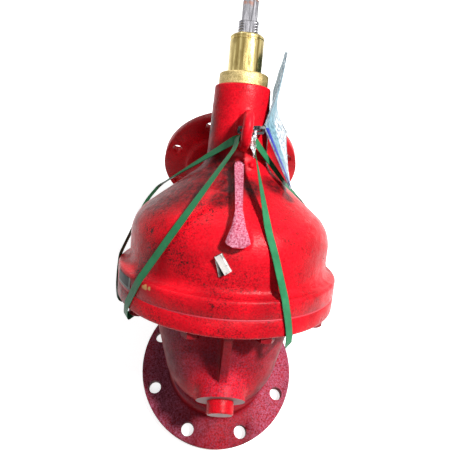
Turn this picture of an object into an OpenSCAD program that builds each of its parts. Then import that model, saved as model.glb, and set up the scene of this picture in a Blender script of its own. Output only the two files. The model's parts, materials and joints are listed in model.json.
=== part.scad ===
// Angle control valve: flanged inlet below, flanged outlet behind, and a bonnet
// that leans over the outlet at half the angle between them. Millimetres, +Z up.
// The origin is the centre of the inlet flange's face.

/* [Pipe flanges] */
// Outside diameter of both pipe flanges
flange_d = 279.4; // [240:0.1:340]
// Thickness of both pipe flanges
flange_t = 19; // [15:0.5:30]
// Diameter of the bolt circle on both pipe flanges
flange_pcd = 241.3; // [220:0.1:290]
// Diameter of the bolt holes in the pipe flanges
flange_hole_d = 22.2; // [16:0.1:28]
// Number of bolt holes in each pipe flange
flange_holes = 8; // [4:4:12]
// Diameter of the waterway
bore_d = 152; // [120:1:170]
// Wall of the inlet and outlet pipes
pipe_wall = 14; // [8:1:20]

/* [Layout] */
// Height of the outlet's centre line above the inlet face
outlet_h = 160; // [150:1:200]
// Distance of the outlet face from the inlet's centre line
outlet_reach = 390; // [360:1:470]
// Lean of the bonnet from upright, towards the outlet
lean = 45; // [40:1:50]
// Distance of the joint between the castings behind the inlet's centre line
joint_y = 114; // [105:1:125]
// Height of the centre of the joint between the castings
joint_h = 168; // [160:1:190]

/* [Joint rim] */
// Diameter of the rim where the two castings meet
rim_d = 364; // [350:1:440]
// Height of the half rim on each casting
rim_h = 27; // [20:1:35]
// Thickness of the joint gasket
gasket_t = 2; // [1:0.5:4]
// Number of bolts through the joint
joint_bolts = 10; // [8:1:12]
// Diameter of the bolt circle at the joint
joint_pcd = 328; // [320:1:336]
// Thread diameter of the joint bolts
joint_bolt_d = 16; // [12:1:18]

/* [Bonnet] */
// Outside diameter of the dome
dome_d = 328; // [300:1:340]
// Height of the dome's straight wall above the joint
dome_h = 72; // [60:1:90]
// Radius of the dome's shoulder
shoulder_r = 62; // [50:1:75]
// Slope of the shoulder's surface, as the angle that its arc turns through
shoulder_turn = 52; // [45:1:60]
// Wall of the dome
dome_wall = 12; // [8:1:16]
// Diameter of the neck at its foot
neck_d = 98; // [90:1:120]
// Diameter of the neck at its top
neck_top_d = 89; // [84:1:100]
// Height of the neck's top above the joint
neck_h = 314; // [290:1:380]
// Radius of the hollow between shoulder and neck
neck_fillet = 40; // [25:1:50]
// Diameter of the hollow inside the neck
neck_bore_d = 62; // [54:1:70]

/* [Lifting eye and ribs] */
// Thickness of the lifting eye
eye_t = 15; // [12:1:20]
// Outside radius of the lifting eye
eye_r = 30; // [26:1:36]
// Radius of the hole in the lifting eye
eye_hole_r = 14; // [11:1:16]
// Height of the eye's centre above the joint
eye_h = 244; // [230:1:270]
// Distance that the eye stands to the right of the middle, as cast
eye_shift = 6; // [-8:0.5:8]
// Angle that the eye is cast askew
eye_skew = 4; // [0:0.5:6]
// Height that the dome's rib stands proud of the shoulder
rib_proud = 15; // [6:1:18]
// Width of the dome's rib at its narrowest
rib_w = 10; // [8:1:16]
// Width of the dome rib's foot
rib_foot_w = 32; // [24:1:40]

/* [Bowl] */
// Outside radius of the bowl's round bottom
bowl_r = 95; // [93:1:115]
// Wall of the bowl
bowl_wall = 12; // [8:1:16]
// Height of the centre of the bowl's round bottom
bowl_h = 114; // [110:1:140]
// Distance of the bowl's centre behind the inlet's centre line
bowl_y = 8; // [0:1:20]
// Outside diameter of the bowl's mouth at the joint
mouth_d = 256; // [240:1:280]
// Diameter of the drain boss
boss_d = 74; // [60:1:80]
// Height of the drain boss's centre line
boss_h = 150; // [140:1:165]
// Distance of the boss's face in front of the inlet's centre line
boss_reach = 86; // [80:1:100]
// Thickness of the bowl's front rib
web_t = 11; // [8:1:16]

/* [Trim] */
// Outside diameter of the seat ring
seat_d = 249; // [235:1:255]
// Bore of the seat ring
seat_bore = 150; // [130:1:156]
// Depth of the seat ring below the joint
seat_t = 16; // [12:1:20]
// Width of the seat ring's lip
lip_w = 6; // [4:1:8]
// Diameter of the valve disc
disc_d = 184; // [172:1:200]
// Outside diameter of the stem's thread
stem_d = 32; // [26:1:36]
// Height of the stem's end above the joint, with the valve closed
stem_h = 440; // [420:1:520]
// Width across the flats of the stem's square end
square_w = 23.5; // [20:0.5:26]
// Length of the stem's square end
square_l = 30; // [20:1:40]

/* [Gland] */
// Diameter of the rough brass collar on the neck
collar_d = 78; // [70:1:86]
// Height of the rough brass collar
collar_h = 19; // [14:1:26]
// Diameter of the turned brass sleeve
sleeve_d = 53.6; // [48:0.2:60]
// Height of the turned brass sleeve above the collar
sleeve_h = 57; // [45:1:70]
// Number of packing rings
packing_rings = 3; // [2:1:4]

/* [Drain plug] */
// Diameter of the drain plug's head
plug_d = 40; // [30:1:48]
// Length of the drain plug's head
plug_l = 19; // [12:1:26]

/* [Shipping straps and papers] */
// Width of the straps
strap_w = 12; // [8:1:16]
// Thickness of the straps
strap_t = 1; // [0.6:0.1:1.4]
// Width of the folded leaflet
leaf_w = 100; // [80:1:105]
// Thickness of the folded leaflet
leaf_t = 3; // [1.5:0.5:4]

/* [Hidden] */
$fn = 64;

// Clearances between pieces that fit together
seat_gap = 0.3;    // faces that lie against each other on curved or moving pieces
press_gap = 0.1;   // a ring pressed or screwed into its bore, on the radius
run_gap = 0.4;     // a stem turning in its bushes, on the radius
bolt_gap = 1;      // a bolt in its clearance hole, on the radius
eps = 0.5;         // overlap of the shapes that make one solid
over = 1;          // how far a cutting shape runs past the face that it cuts
chamfer = 1;       // broken edge of a turned or machined face

flange_r = flange_d / 2;
bore_r = bore_d / 2;
pipe_r = bore_r + pipe_wall;
rim_r = rim_d / 2;
rim_edge = 5;
gasket_face = gasket_t / 2;
dome_r = dome_d / 2;
neck_r = neck_d / 2;
neck_top_r = neck_top_d / 2;
neck_bore_r = neck_bore_d / 2;
joint_bolt_r = joint_bolt_d / 2;
joint_pcr = joint_pcd / 2;
joint_tap_depth = rim_h - 5;
stem_r = stem_d / 2;
seat_r = seat_d / 2;
mouth_r = mouth_d / 2;
mouth_wall = 28;
ring_in_r = mouth_r - mouth_wall - 8;   // inside the bowl's hollow, which cuts it back
land_r = seat_r - 6;
land_h = 14;                            // the slope from the seat's land to the dome's wall

// A point on a circle, and an arc as a list of points
function polar(r, a) = [r * cos(a), r * sin(a)];
function arc(c, r, a0, a1, n = 8) = [for (i = [0:n]) c + polar(r, a0 + (a1 - a0) * i / n)];

// Places its children on the bonnet's axis, with z = 0 at the joint's middle plane
module on_bonnet() {
    translate([0, joint_y, joint_h]) rotate([-lean, 0, 0]) children();
}

// Turns the bonnet's -y side, which faces the front, towards +z of its children
module on_front() {
    rotate([90, 0, 0]) children();
}

// ---------- Outline of the dome and neck, from the joint upwards ----------
shoulder_c = [dome_r - shoulder_r, dome_h];
slope_n = polar(1, shoulder_turn);
slope_c = slope_n * shoulder_c + shoulder_r;
neck_foot_h = (slope_c + neck_fillet - (neck_r + neck_fillet) * slope_n.x) / slope_n.y;
flare_r = 10;
neck_edge = 3;

// Outer outline, raised by a given distance
function dome_outline(up = 0) = concat(
    arc(shoulder_c, shoulder_r + up, 0, shoulder_turn, 12),
    arc([neck_r + neck_fillet, neck_foot_h], neck_fillet - up, 180 + shoulder_turn, 180, 8)
);
// The inner slope meets the neck's bore at this height
inner_c = slope_c - dome_wall;
bore_foot_h = (inner_c - neck_bore_r * slope_n.x) / slope_n.y;

module dome_outside() {
    rotate_extrude($fn = 96) polygon(concat(
        [[0, gasket_face], [rim_r - chamfer, gasket_face], [rim_r, gasket_face + chamfer]],
        arc([rim_r - rim_edge, rim_h - rim_edge], rim_edge, 0, 90, 4),
        arc([dome_r + flare_r, rim_h + flare_r], flare_r, 270, 180, 5),
        dome_outline(),
        arc([neck_top_r - neck_edge, neck_h - neck_edge], neck_edge, 0, 90, 4),
        [[0, neck_h]]
    ));
}

module dome_inside() {
    rotate_extrude($fn = 96) polygon(concat(
        [[0, -over], [land_r, -over], [land_r, rim_h], [dome_r - dome_wall, rim_h + land_h]],
        arc(shoulder_c, shoulder_r - dome_wall, 0, shoulder_turn, 10),
        [[neck_bore_r, bore_foot_h], [neck_bore_r, neck_h + over], [0, neck_h + over]]
    ));
}

// Turns its children to each place of a ring of n that straddles the front centre line
module ring_of(n, r) {
    for (i = [0:n - 1]) rotate([0, 0, (i + 0.5) * 360 / n - 90]) translate([r, 0, 0]) children();
}

module hole_ring(n, r, hole_r, h) {
    ring_of(n, r) cylinder(r = hole_r, h = h);
}

// A pipe flange, with its face at z = 0 and the fillet of its hub above it
hub_fillet = 8;
module pipe_flange() {
    rotate_extrude($fn = 96) polygon(concat(
        [[bore_r - eps, 0], [flange_r - chamfer, 0], [flange_r, chamfer], [flange_r, flange_t - chamfer],
         [flange_r - chamfer, flange_t]],
        arc([pipe_r + hub_fillet, flange_t + hub_fillet], hub_fillet, 270, 180, 5),
        [[bore_r - eps, flange_t + hub_fillet]]
    ));
}

module flange_cuts() {
    translate([0, 0, -over]) hole_ring(flange_holes, flange_pcd / 2, flange_hole_d / 2, flange_t + 2 * over);
}

// Places its children on the outlet, with z = 0 at the outlet face and +z going inwards
module on_outlet() {
    translate([0, outlet_reach, outlet_h]) rotate([90, 0, 0]) children();
}

// ---------- Upper casting: dome, neck, lifting eye, rib, outlet and its flange ----------
outlet_in = 76;                         // the pipe's inner end lies this far behind the joint's centre
outlet_root = outlet_reach - joint_y - outlet_in;
eye_out = neck_r + 18;
neck_in = 6;                            // how deep the eye and the rib reach into the neck's wall
eye_root = eye_out - neck_bore_r - neck_in;

module on_eye() {
    translate([eye_shift, 0, eye_h]) rotate([0, eye_skew, 0]) children();
}

// The eye has a fully rounded edge, and its hole has a chamfer of this size on both sides
eye_edge = eye_t / 2;
eye_chamfer = 3;
root_t = eye_t - 3;
root_r = eye_r - 3;
module lifting_eye() {
    on_eye() rotate([0, 90, 0]) difference() {
        union() {
            translate([0, -eye_out, 0]) rotate_extrude() polygon(concat(
                [[0, -eye_edge]], arc([eye_r - eye_edge, 0], eye_edge, -90, 90, 8), [[0, eye_edge]]));
            translate([-root_r, -eye_out, -root_t / 2]) cube([2 * root_r, eye_root, root_t]);
        }
        translate([0, -eye_out, 0]) rotate_extrude() polygon([
            [0, -eye_edge - over], [eye_hole_r + eye_chamfer + over, -eye_edge - over],
            [eye_hole_r, eye_chamfer - eye_edge], [eye_hole_r, eye_edge - eye_chamfer],
            [eye_hole_r + eye_chamfer + over, eye_edge + over], [0, eye_edge + over]
        ]);
    }
}

rib_top_h = eye_h - eye_r - 14;
rib_top_r = 7;
rib_foot_h = dome_h + 22;
rib_foot_r = 24;
// Half widths of the rib as it rises from its foot: how far above the foot, and how wide
rib_sides = [[rib_foot_w / 2 - 1, 11], [rib_w / 2 + 4, 26], [rib_w / 2, 44]];
module dome_rib() {
    intersection() {
        rotate_extrude($fn = 96) polygon(concat([[neck_bore_r + neck_in, dome_h - 10]], dome_outline(rib_proud),
            [[neck_r + rib_proud, rib_top_h + 10], [neck_bore_r + neck_in, rib_top_h + 10]]));
        on_front() linear_extrude(height = dome_r + rib_proud + 5) polygon(concat(
            arc([0, rib_foot_h + rib_foot_r], rib_foot_r, 228, 312, 8),
            [for (q = rib_sides) [q.x, rib_foot_h + q.y]],
            [[rib_top_r - 1, rib_top_h - 30]],
            arc([0, rib_top_h - rib_top_r], rib_top_r, 0, 180, 8),
            [[1 - rib_top_r, rib_top_h - 30]],
            [for (i = [len(rib_sides) - 1:-1:0]) [-rib_sides[i].x, rib_foot_h + rib_sides[i].y]]
        ));
    }
}

module upper_casting() {
    color("firebrick") difference() {
        union() {
            on_bonnet() {
                dome_outside();
                lifting_eye();
                dome_rib();
            }
            on_outlet() {
                pipe_flange();
                cylinder(r = pipe_r, h = outlet_root);
            }
        }
        on_bonnet() {
            translate([0, 0, gasket_face - rim_r]) cylinder(r = rim_r, h = rim_r);
            dome_inside();
            translate([0, 0, gasket_face - over]) hole_ring(joint_bolts, joint_pcr, joint_bolt_r + press_gap,
                                                           joint_tap_depth + over);
        }
        on_outlet() {
            flange_cuts();
            translate([0, 0, -over]) cylinder(r = bore_r, h = outlet_root + over);
        }
    }
}

// ---------- Lower casting: half rim, bowl, drain boss, rib, inlet and its flange ----------
module bowl_shape(mouth, r, top, foot) {
    hull() {
        on_bonnet() translate([0, 0, foot]) cylinder(r = mouth, h = top - foot, $fn = 48);
        translate([0, bowl_y, bowl_h]) sphere(r = r, $fn = 48);
    }
}

module drain_boss() {
    translate([0, -boss_reach, boss_h]) rotate([-90, 0, 0]) cylinder(r = boss_d / 2, h = boss_reach);
}

// The rib runs from the joint rim's underside down to the top of the boss
web_in = 8;
web_toe = 17 - boss_reach;
web_sink = 1;
function bonnet_point(v, w) =
    [joint_y - cos(lean) * v + sin(lean) * w, joint_h + sin(lean) * v + cos(lean) * w];
module front_web() {
    translate([-web_t / 2, 0, 0]) rotate([90, 0, 90]) linear_extrude(height = web_t) polygon([
        bonnet_point(rim_r - web_in, -rim_h), [web_toe, boss_h + boss_d / 2 - web_sink],
        [web_toe, boss_h], [0, boss_h], [20, joint_h + 60]
    ]);
}

module lower_casting() {
    color("firebrick") difference() {
        union() {
            on_bonnet() rotate_extrude($fn = 96) polygon(concat(
                [[ring_in_r, -rim_h]],
                arc([rim_r - rim_edge, -rim_h + rim_edge], rim_edge, -90, 0, 4),
                [[rim_r, -gasket_face - chamfer], [rim_r - chamfer, -gasket_face], [ring_in_r, -gasket_face]]
            ));
            bowl_shape(mouth_r, bowl_r, -rim_h + eps, -rim_h - eps);
            cylinder(r = pipe_r, h = bowl_h);
            pipe_flange();
            drain_boss();
            front_web();
        }
        on_bonnet() {
            translate([0, 0, -seat_t]) cylinder(r = seat_r + press_gap, h = seat_t + 5);
            translate([0, 0, -rim_h - over])
                hole_ring(joint_bolts, joint_pcr, joint_bolt_r + bolt_gap, rim_h + over);
        }
        bowl_shape(mouth_r - mouth_wall, bowl_r - bowl_wall, -seat_t + 1, -seat_t - 3);
        flange_cuts();
        translate([0, 0, -over]) cylinder(r = bore_r, h = bowl_h);
        translate([0, -boss_reach, boss_h]) rotate([90, 0, 0]) cylinder(r = boss_d / 2, h = plug_l + over);
        translate([0, -boss_reach - over, boss_h]) rotate([-90, 0, 0])
            cylinder(r = plug_thread_r + press_gap, h = 60);
    }
}

// ---------- Joint gasket and bolts ----------
gasket_gap = 1.5;
module joint_gasket() {
    color("dimgray") on_bonnet() difference() {
        translate([0, 0, -gasket_face]) cylinder(r = rim_r - 2, h = gasket_t);
        translate([0, 0, -gasket_t]) {
            cylinder(r = seat_r + gasket_gap, h = 2 * gasket_t);
            hole_ring(joint_bolts, joint_pcr, joint_bolt_r + bolt_gap, 2 * gasket_t);
        }
    }
}

bolt_head_w = 1.5 * joint_bolt_d;
bolt_head_h = 0.63 * joint_bolt_d;
bolt_end_gap = 3;
module joint_bolt_set() {
    color("firebrick") on_bonnet() ring_of(joint_bolts, joint_pcr) translate([0, 0, -rim_h]) {
        translate([0, 0, -bolt_head_h]) cylinder(r = bolt_head_w / 2 / cos(30), h = bolt_head_h, $fn = 6);
        translate([0, 0, -eps])
            cylinder(r = joint_bolt_r, h = rim_h + gasket_face + joint_tap_depth - bolt_end_gap);
    }
}

// ---------- Seat, disc and what holds them ----------
lip_top = gasket_face + 1.5;
seal_t = 6;
disc_foot = lip_top + seat_gap;
seal_cover = 7;
seal_in_r = seat_bore / 2 - seal_cover;
seal_out_r = seat_bore / 2 + lip_w + seal_cover;
disc_r = disc_d / 2;
plate_top = disc_foot + seal_t + 12;
hub_r = stem_r + 16;
hub_h = 36;
socket_r = stem_r + 4;
socket_foot = plate_top + 10;
socket_h = 12;
nut_seat_h = socket_foot + socket_h;
disc_nut_r = hub_r - 6;
spigot_r = 10;
spigot_l = 14;
plate_foot = 2;                         // the seal plate's foot hangs below the joint's middle plane
seal_nut_w = 1.62 * spigot_r;
seal_nut_h = spigot_l - plate_foot;

module seat_ring() {
    color("darkgoldenrod") on_bonnet() rotate_extrude($fn = 96) polygon([
        [seat_bore / 2, -seat_t], [seat_r, -seat_t], [seat_r, gasket_face - seat_gap],
        [seat_bore / 2 + 2 * lip_w, gasket_face - seat_gap], [seat_bore / 2 + lip_w, lip_top - 1],
        [seat_bore / 2 + lip_w - 1, lip_top], [seat_bore / 2 + 1, lip_top], [seat_bore / 2, lip_top - 1]
    ]);
}

module valve_disc() {
    color("tan") on_bonnet() difference() {
        union() {
            translate([0, 0, -spigot_l]) cylinder(r = spigot_r, h = spigot_l + disc_foot + seal_t + eps);
            rotate_extrude($fn = 96) polygon([
                [0, disc_foot + seal_t], [seal_out_r + press_gap, disc_foot + seal_t],
                [seal_out_r + press_gap, disc_foot + 1], [disc_r, disc_foot + 1], [disc_r, plate_top - 3],
                [disc_r - 3, plate_top], [hub_r + 14, plate_top], [hub_r, plate_top + 12],
                [hub_r, plate_top + hub_h], [0, plate_top + hub_h]
            ]);
        }
        translate([0, 0, socket_foot]) cylinder(r = socket_r, h = hub_h);
        translate([0, 0, nut_seat_h]) cylinder(r = disc_nut_r + press_gap, h = hub_h);
    }
}

module disc_seal() {
    color("black") on_bonnet() translate([0, 0, disc_foot]) difference() {
        cylinder(r = seal_out_r, h = seal_t);
        translate([0, 0, -over]) cylinder(r = seal_in_r, h = seal_t + 2 * over);
    }
}

module seal_plate() {
    color("tan") on_bonnet() difference() {
        translate([0, 0, -plate_foot]) cylinder(r = seal_in_r - press_gap, h = disc_foot + seal_t + plate_foot);
        translate([0, 0, -plate_foot - over])
            cylinder(r = spigot_r + press_gap, h = disc_foot + seal_t + plate_foot + 2 * over);
    }
}

module seal_nut() {
    color("tan") on_bonnet() translate([0, 0, -spigot_l]) difference() {
        cylinder(r = seal_nut_w / cos(30), h = seal_nut_h, $fn = 6);
        translate([0, 0, -over]) cylinder(r = spigot_r + press_gap, h = seal_nut_h + 2 * over);
    }
}

disc_nut_hex = 44;
disc_nut_h = 8;
module disc_nut() {
    color("tan") on_bonnet() difference() {
        union() {
            translate([0, 0, nut_seat_h + seat_gap])
                cylinder(r = disc_nut_r, h = plate_top + hub_h - nut_seat_h);
            translate([0, 0, plate_top + hub_h + seat_gap])
                cylinder(r = disc_nut_hex / 2 / cos(30), h = disc_nut_h, $fn = 6);
        }
        translate([0, 0, nut_seat_h - over]) cylinder(r = stem_r + run_gap, h = 2 * hub_h);
    }
}

flat_l = 25;
module stem() {
    color("lightsteelblue") on_bonnet() {
        translate([0, 0, socket_foot + seat_gap]) cylinder(r = socket_r - run_gap, h = socket_h - seat_gap);
        intersection() {
            translate([0, 0, socket_foot + chamfer])
                cylinder(r = stem_r, h = stem_h - square_l - socket_foot - chamfer);
            union() {
                translate([0, 0, socket_foot])
                    cylinder(r = 2 * stem_r, h = stem_h - square_l - flat_l - socket_foot);
                translate([-2 * stem_r, -square_w / 2, 0]) cube([4 * stem_r, square_w, stem_h]);
            }
        }
        intersection() {
            translate([-square_w / 2, -square_w / 2, stem_h - square_l - eps])
                cube([square_w, square_w, square_l + eps]);
            translate([0, 0, stem_h - square_l - over]) cylinder(r = 0.66 * square_w, h = square_l + over);
        }
    }
}

// ---------- Guide bush, gland and packing in the neck ----------
bush_h = 30;
bush_in = 2;
bush_r = neck_bore_r - press_gap;
module guide_bush() {
    color("darkgoldenrod") on_bonnet() translate([0, 0, bore_foot_h + bush_in]) difference() {
        cylinder(r = bush_r, h = bush_h);
        translate([0, 0, -over]) cylinder(r = stem_r + run_gap, h = bush_h + 2 * over);
    }
}

shank_l = 46;
shank_floor = 8;
box_wall = 6;
box_r = neck_bore_r - box_wall;
cast_edge = 2;
packing_h = 6;
packing_foot = neck_h - shank_l + shank_floor;
nose_foot = packing_foot + packing_rings * packing_h;
module brass_collar() {
    color("darkkhaki") on_bonnet() difference() {
        union() {
            translate([0, 0, neck_h - shank_l]) cylinder(r = bush_r, h = shank_l + eps);
            translate([0, 0, neck_h]) rotate_extrude($fn = 96) polygon([
                [0, 0], [collar_d / 2 - chamfer, 0], [collar_d / 2, chamfer],
                [collar_d / 2, collar_h - cast_edge],
                [collar_d / 2 - cast_edge, collar_h], [0, collar_h]
            ]);
        }
        translate([0, 0, neck_h - shank_l - over])
            cylinder(r = stem_r + run_gap, h = shank_l + collar_h + 2 * over);
        translate([0, 0, packing_foot]) cylinder(r = box_r, h = shank_l + collar_h);
    }
}

module packing() {
    color("ivory") on_bonnet() for (i = [0:packing_rings - 1])
        translate([0, 0, packing_foot + i * packing_h]) difference() {
            cylinder(r = box_r - press_gap, h = packing_h - seat_gap);
            translate([0, 0, -over]) cylinder(r = stem_r + run_gap / 2, h = packing_h + 2 * over);
        }
}

sleeve_r = sleeve_d / 2;
sleeve_edge = 2.5;
groove_r = sleeve_r - 0.8;
groove_foot = sleeve_h - 9;
module brass_sleeve() {
    foot = neck_h + collar_h;
    color("goldenrod") on_bonnet() difference() {
        union() {
            translate([0, 0, nose_foot]) cylinder(r = box_r - press_gap, h = foot - nose_foot + eps);
            translate([0, 0, foot]) rotate_extrude($fn = 96) polygon([
                [0, 0], [sleeve_r, 0], [sleeve_r, groove_foot], [groove_r, groove_foot + 1],
                [groove_r, groove_foot + 2.5], [sleeve_r, groove_foot + 3.5],
                [sleeve_r, sleeve_h - sleeve_edge], [sleeve_r - sleeve_edge, sleeve_h], [0, sleeve_h]
            ]);
        }
        translate([0, 0, nose_foot - over])
            cylinder(r = stem_r + run_gap, h = foot + sleeve_h - nose_foot + 2 * over);
    }
}

// ---------- Drain plug ----------
plug_thread_r = plug_d / 2 - 6;
plug_thread_l = 22;
plug_edge = 1.5;
module drain_plug() {
    color("firebrick") translate([0, -boss_reach - plug_l, boss_h]) rotate([-90, 0, 0]) {
        rotate_extrude($fn = 64) polygon([
            [0, 0], [plug_d / 2 - plug_edge, 0], [plug_d / 2, plug_edge], [plug_d / 2, plug_l - eps],
            [plug_d / 2 - eps, plug_l], [0, plug_l]
        ]);
        translate([0, 0, plug_l - eps]) cylinder(r = plug_thread_r, h = plug_thread_l);
    }
}

// ---------- Straps: flat bands swept round closed routes, in the bonnet's frame ----------
// Each point of a route is [turn from the front, distance from the axis, height above the joint].
// A route runs from the eye down over the rim, round behind the bowl, up over the rim and back.
strap_r = strap_t / 2 + seat_gap;
rim_out = rim_r + strap_r + 0.8;
dome_out = dome_r + strap_r + 0.4;
under_rim = -rim_h - bolt_head_h - strap_w / 2 - 1;
bowl_out = mouth_r + 2;
function behind(a0, a1, r, h, n = 9) = [for (i = [0:n]) [a0 + (a1 - a0) * i / n, r, h]];
left_route = concat([
    [-4.6, 75.2, eye_h - 6], [-6, 83, eye_h - 25], [-30.5, dome_r - 4, dome_h + 34],
    [-34.3, dome_out + 0.6, dome_h + 14], [-44.2, rim_r + 0.5, rim_h + 2], [-45.2, rim_out, rim_h - 4],
    [-49.8, rim_out, 0], [-54.5, rim_out, -rim_h + 5], [-56.5, rim_r - 1, under_rim]],
    behind(-76, -258, bowl_out, under_rim), [
    [-262, rim_r - 1, under_rim + 3], [-262, rim_out, -rim_h + 5], [-261.5, rim_out, 0],
    [-260.5, rim_out, rim_h - 4],
    [-260, rim_r + 0.5, rim_h + 2], [-258, dome_out, dome_h + 10], [-255.5, dome_r - 1, dome_h + 22],
    [-253.5, dome_r - 7.5, dome_h + 35], [-252.5, dome_r - 17, dome_h + 48], [-254, 126, dome_h + 68],
    [-263, 92, dome_h + 90.5], [20, 66, eye_h - 15], [16, 63, eye_h - 7]
]);
right_route = concat([
    [14, 70, eye_h - 10.5], [15, 78, eye_h - 25], [15.5, dome_r - 9, dome_h + 40], [18, dome_out, dome_h + 14],
    [22.2, rim_r + 0.5, rim_h + 2], [22.5, rim_out, rim_h - 4], [24.7, rim_out, 0], [26.4, rim_out, -rim_h + 5],
    [27.3, rim_r - 1, under_rim + 2]],
    behind(70, 252, bowl_out - 4, under_rim - strap_w - 3), [
    [280, rim_r - 1, under_rim], [279, rim_out, -rim_h + 5], [276.5, rim_out, 0], [272, rim_out, rim_h - 4],
    [270, rim_r + 0.5, rim_h + 2], [261, dome_out, dome_h + 10], [258.5, dome_r - 1, dome_h + 22],
    [256.5, dome_r - 6, dome_h + 35], [257, dome_r - 15, dome_h + 50], [257, dome_r - 33, dome_h + 73],
    [-6, 67, eye_h - 12]
]);
function unit(a) = a / norm(a);
function route_points(route) = [for (q = route) [q[1] * sin(q[0]), -q[1] * cos(q[0]), q[2]]];
function sum(list, i = 0) = i < len(list) ? list[i] + sum(list, i + 1) : [0, 0, 0];

module closed_band(p, w, t) {
    n = len(p);
    middle = sum(p) / n;
    corners = [for (i = [0:n - 1])
        let (along = unit(p[(i + 1) % n] - p[(i + n - 1) % n]),
             away = p[i] - middle,
             out = unit(away - (away * along) * along),
             across = cross(along, out))
        for (c = [[-1, -1], [1, -1], [1, 1], [-1, 1]])
            p[i] + across * c.x * w / 2 + out * c.y * t / 2];
    polyhedron(points = corners, faces = [for (i = [0:n - 1]) for (c = [0:3])
        let (a = 4 * i + c, b = 4 * i + (c + 1) % 4,
             d = 4 * ((i + 1) % n) + c, e = 4 * ((i + 1) % n) + (c + 1) % 4)
        for (f = [[a, d, e], [a, e, b]]) f]);
}

module strap_left() {
    color("mediumseagreen") on_bonnet() closed_band(route_points(left_route), strap_w, strap_t);
}

module strap_right() {
    color("mediumseagreen") on_bonnet() closed_band(route_points(right_route), strap_w, strap_t);
}

// ---------- Strap clip, tie, leaflet and label ----------
clip_w = 12;
clip_l = 27;
clip_h = 6;
clip_t = 1;
clip_turn = 5.5;
clip_up = 70;
clip_tilt = 34;
module strap_clip() {
    color("gainsboro") on_bonnet() rotate([0, 0, -clip_turn])
        translate([0, -dome_r - seat_gap - press_gap, clip_up]) rotate([90, -clip_tilt, 0]) translate([-clip_w / 2, -clip_l / 2, 0]) {
            cube([clip_w, clip_l, clip_t]);
            cube([clip_t, clip_l, clip_h]);
            translate([0, 0, clip_h - clip_t]) cube([clip_w, clip_l, clip_t]);
        }
}

// The leaflet hangs by the middle of its fold, which is bent there: upper, tied and lower points
tie_point = [34, -41, eye_h + 9];
fold = [[58, -30, eye_h + 122], tie_point, [82, -62, dome_h + 92]];
// Direction in which the pages run from each of those points
spread = [[0.15, 0.95, 0.24], [0.5, 0.86, 0.02], [0.14, 0.98, 0.13]];
fold_in = 2;
module bent_sheet(f, d, w, t, off) {
    n = len(f);
    edge = [for (i = [0:n - 1]) unit(f[min(i + 1, n - 1)] - f[max(i - 1, 0)])];
    side = [for (i = [0:n - 1]) unit(cross(edge[i], d[i]))];
    p = [for (i = [0:n - 1]) for (q = [0, 1]) for (k = [0, 1])
        f[i] + unit(d[i]) * (fold_in + q * w) - side[i] * (off + k * t)];
    polyhedron(points = p, faces = concat(
        [for (i = [0:4:4 * n - 8]) for (g = [[0, 4, 5], [0, 5, 1], [1, 5, 7], [1, 7, 3], [3, 7, 6], [3, 6, 2],
            [2, 6, 0], [0, 6, 4]]) g + [i, i, i]],
        [[0, 1, 3], [0, 3, 2], [4 * n - 4, 4 * n - 1, 4 * n - 3], [4 * n - 4, 4 * n - 2, 4 * n - 1]]));
}

cover_t = 1;
module leaflet_cover() {
    color("cornflowerblue") on_bonnet() bent_sheet(fold, spread, leaf_w, cover_t, 0);
}

module leaflet_pages() {
    color("white") on_bonnet() bent_sheet(fold, spread, leaf_w, leaf_t - cover_t, -leaf_t + cover_t - seat_gap);
}

tie_w = 4;
tie_t = 1.4;
module zip_tie() {
    color("black") on_bonnet() closed_band([
        [-5, -70, eye_h + 4], [12, -70, eye_h + 4], [34, -55, eye_h + 8], tie_point + [0.4, 0.7, 3],
        tie_point + [0.4, 0.7, -4], [33, -50, eye_h], [12, -64, eye_h - 3.4], [-5, -64, eye_h - 3.4]
    ], tie_w, tie_t);
}

tail_w = 2.5;
tail_t = 0.8;
module tie_tail() {
    color("whitesmoke") on_bonnet() closed_band([
        [20, -66.5, eye_h + 2.5], [20, -82, eye_h - 12], [17, -90, eye_h - 24], [18, -90, eye_h - 34],
        [20, -83.5, eye_h - 26], [22, -72.6, eye_h - 8]
    ], tail_w, tail_t);
}

label_turn = 60;
label_a = 8;
label_h = 18;
label_up = 4;
label_t = 0.4;
module rim_label() {
    color("white") on_bonnet() translate([0, 0, label_up]) intersection() {
        difference() {
            cylinder(r = rim_r + press_gap + label_t, h = label_h, $fn = 96);
            translate([0, 0, -over]) cylinder(r = rim_r + press_gap, h = label_h + 2 * over, $fn = 96);
        }
        rotate([0, 0, -90 - label_turn]) linear_extrude(height = label_h)
            polygon([[0, 0], polar(2 * rim_r, -label_a), polar(2 * rim_r, label_a)]);
    }
}

upper_casting();
lower_casting();
joint_gasket();
joint_bolt_set();
seat_ring();
valve_disc();
disc_seal();
seal_plate();
seal_nut();
disc_nut();
stem();
guide_bush();
brass_collar();
packing();
brass_sleeve();
drain_plug();
strap_left();
strap_right();
strap_clip();
zip_tie();
tie_tail();
leaflet_cover();
leaflet_pages();
rim_label();
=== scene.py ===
# %% [markdown]
# # An angle control valve, as delivered
# A cast iron valve turns the water through a right angle: it comes up through the round flange
# underneath and leaves through the flange behind. Between them sits a domed bonnet, leaning back at
# half that angle, with a brass gland and a screwed stem that lowers a disc onto its seat.
# The shapes come from the CAD model, which Blender loads as a fixed frame. This script adds what CAD
# leaves out: soft corners between cast walls, threads, straps that bend, paper, and every finish.

import json
import math

import bmesh
import bpy
from mathutils import Matrix, Vector


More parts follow.
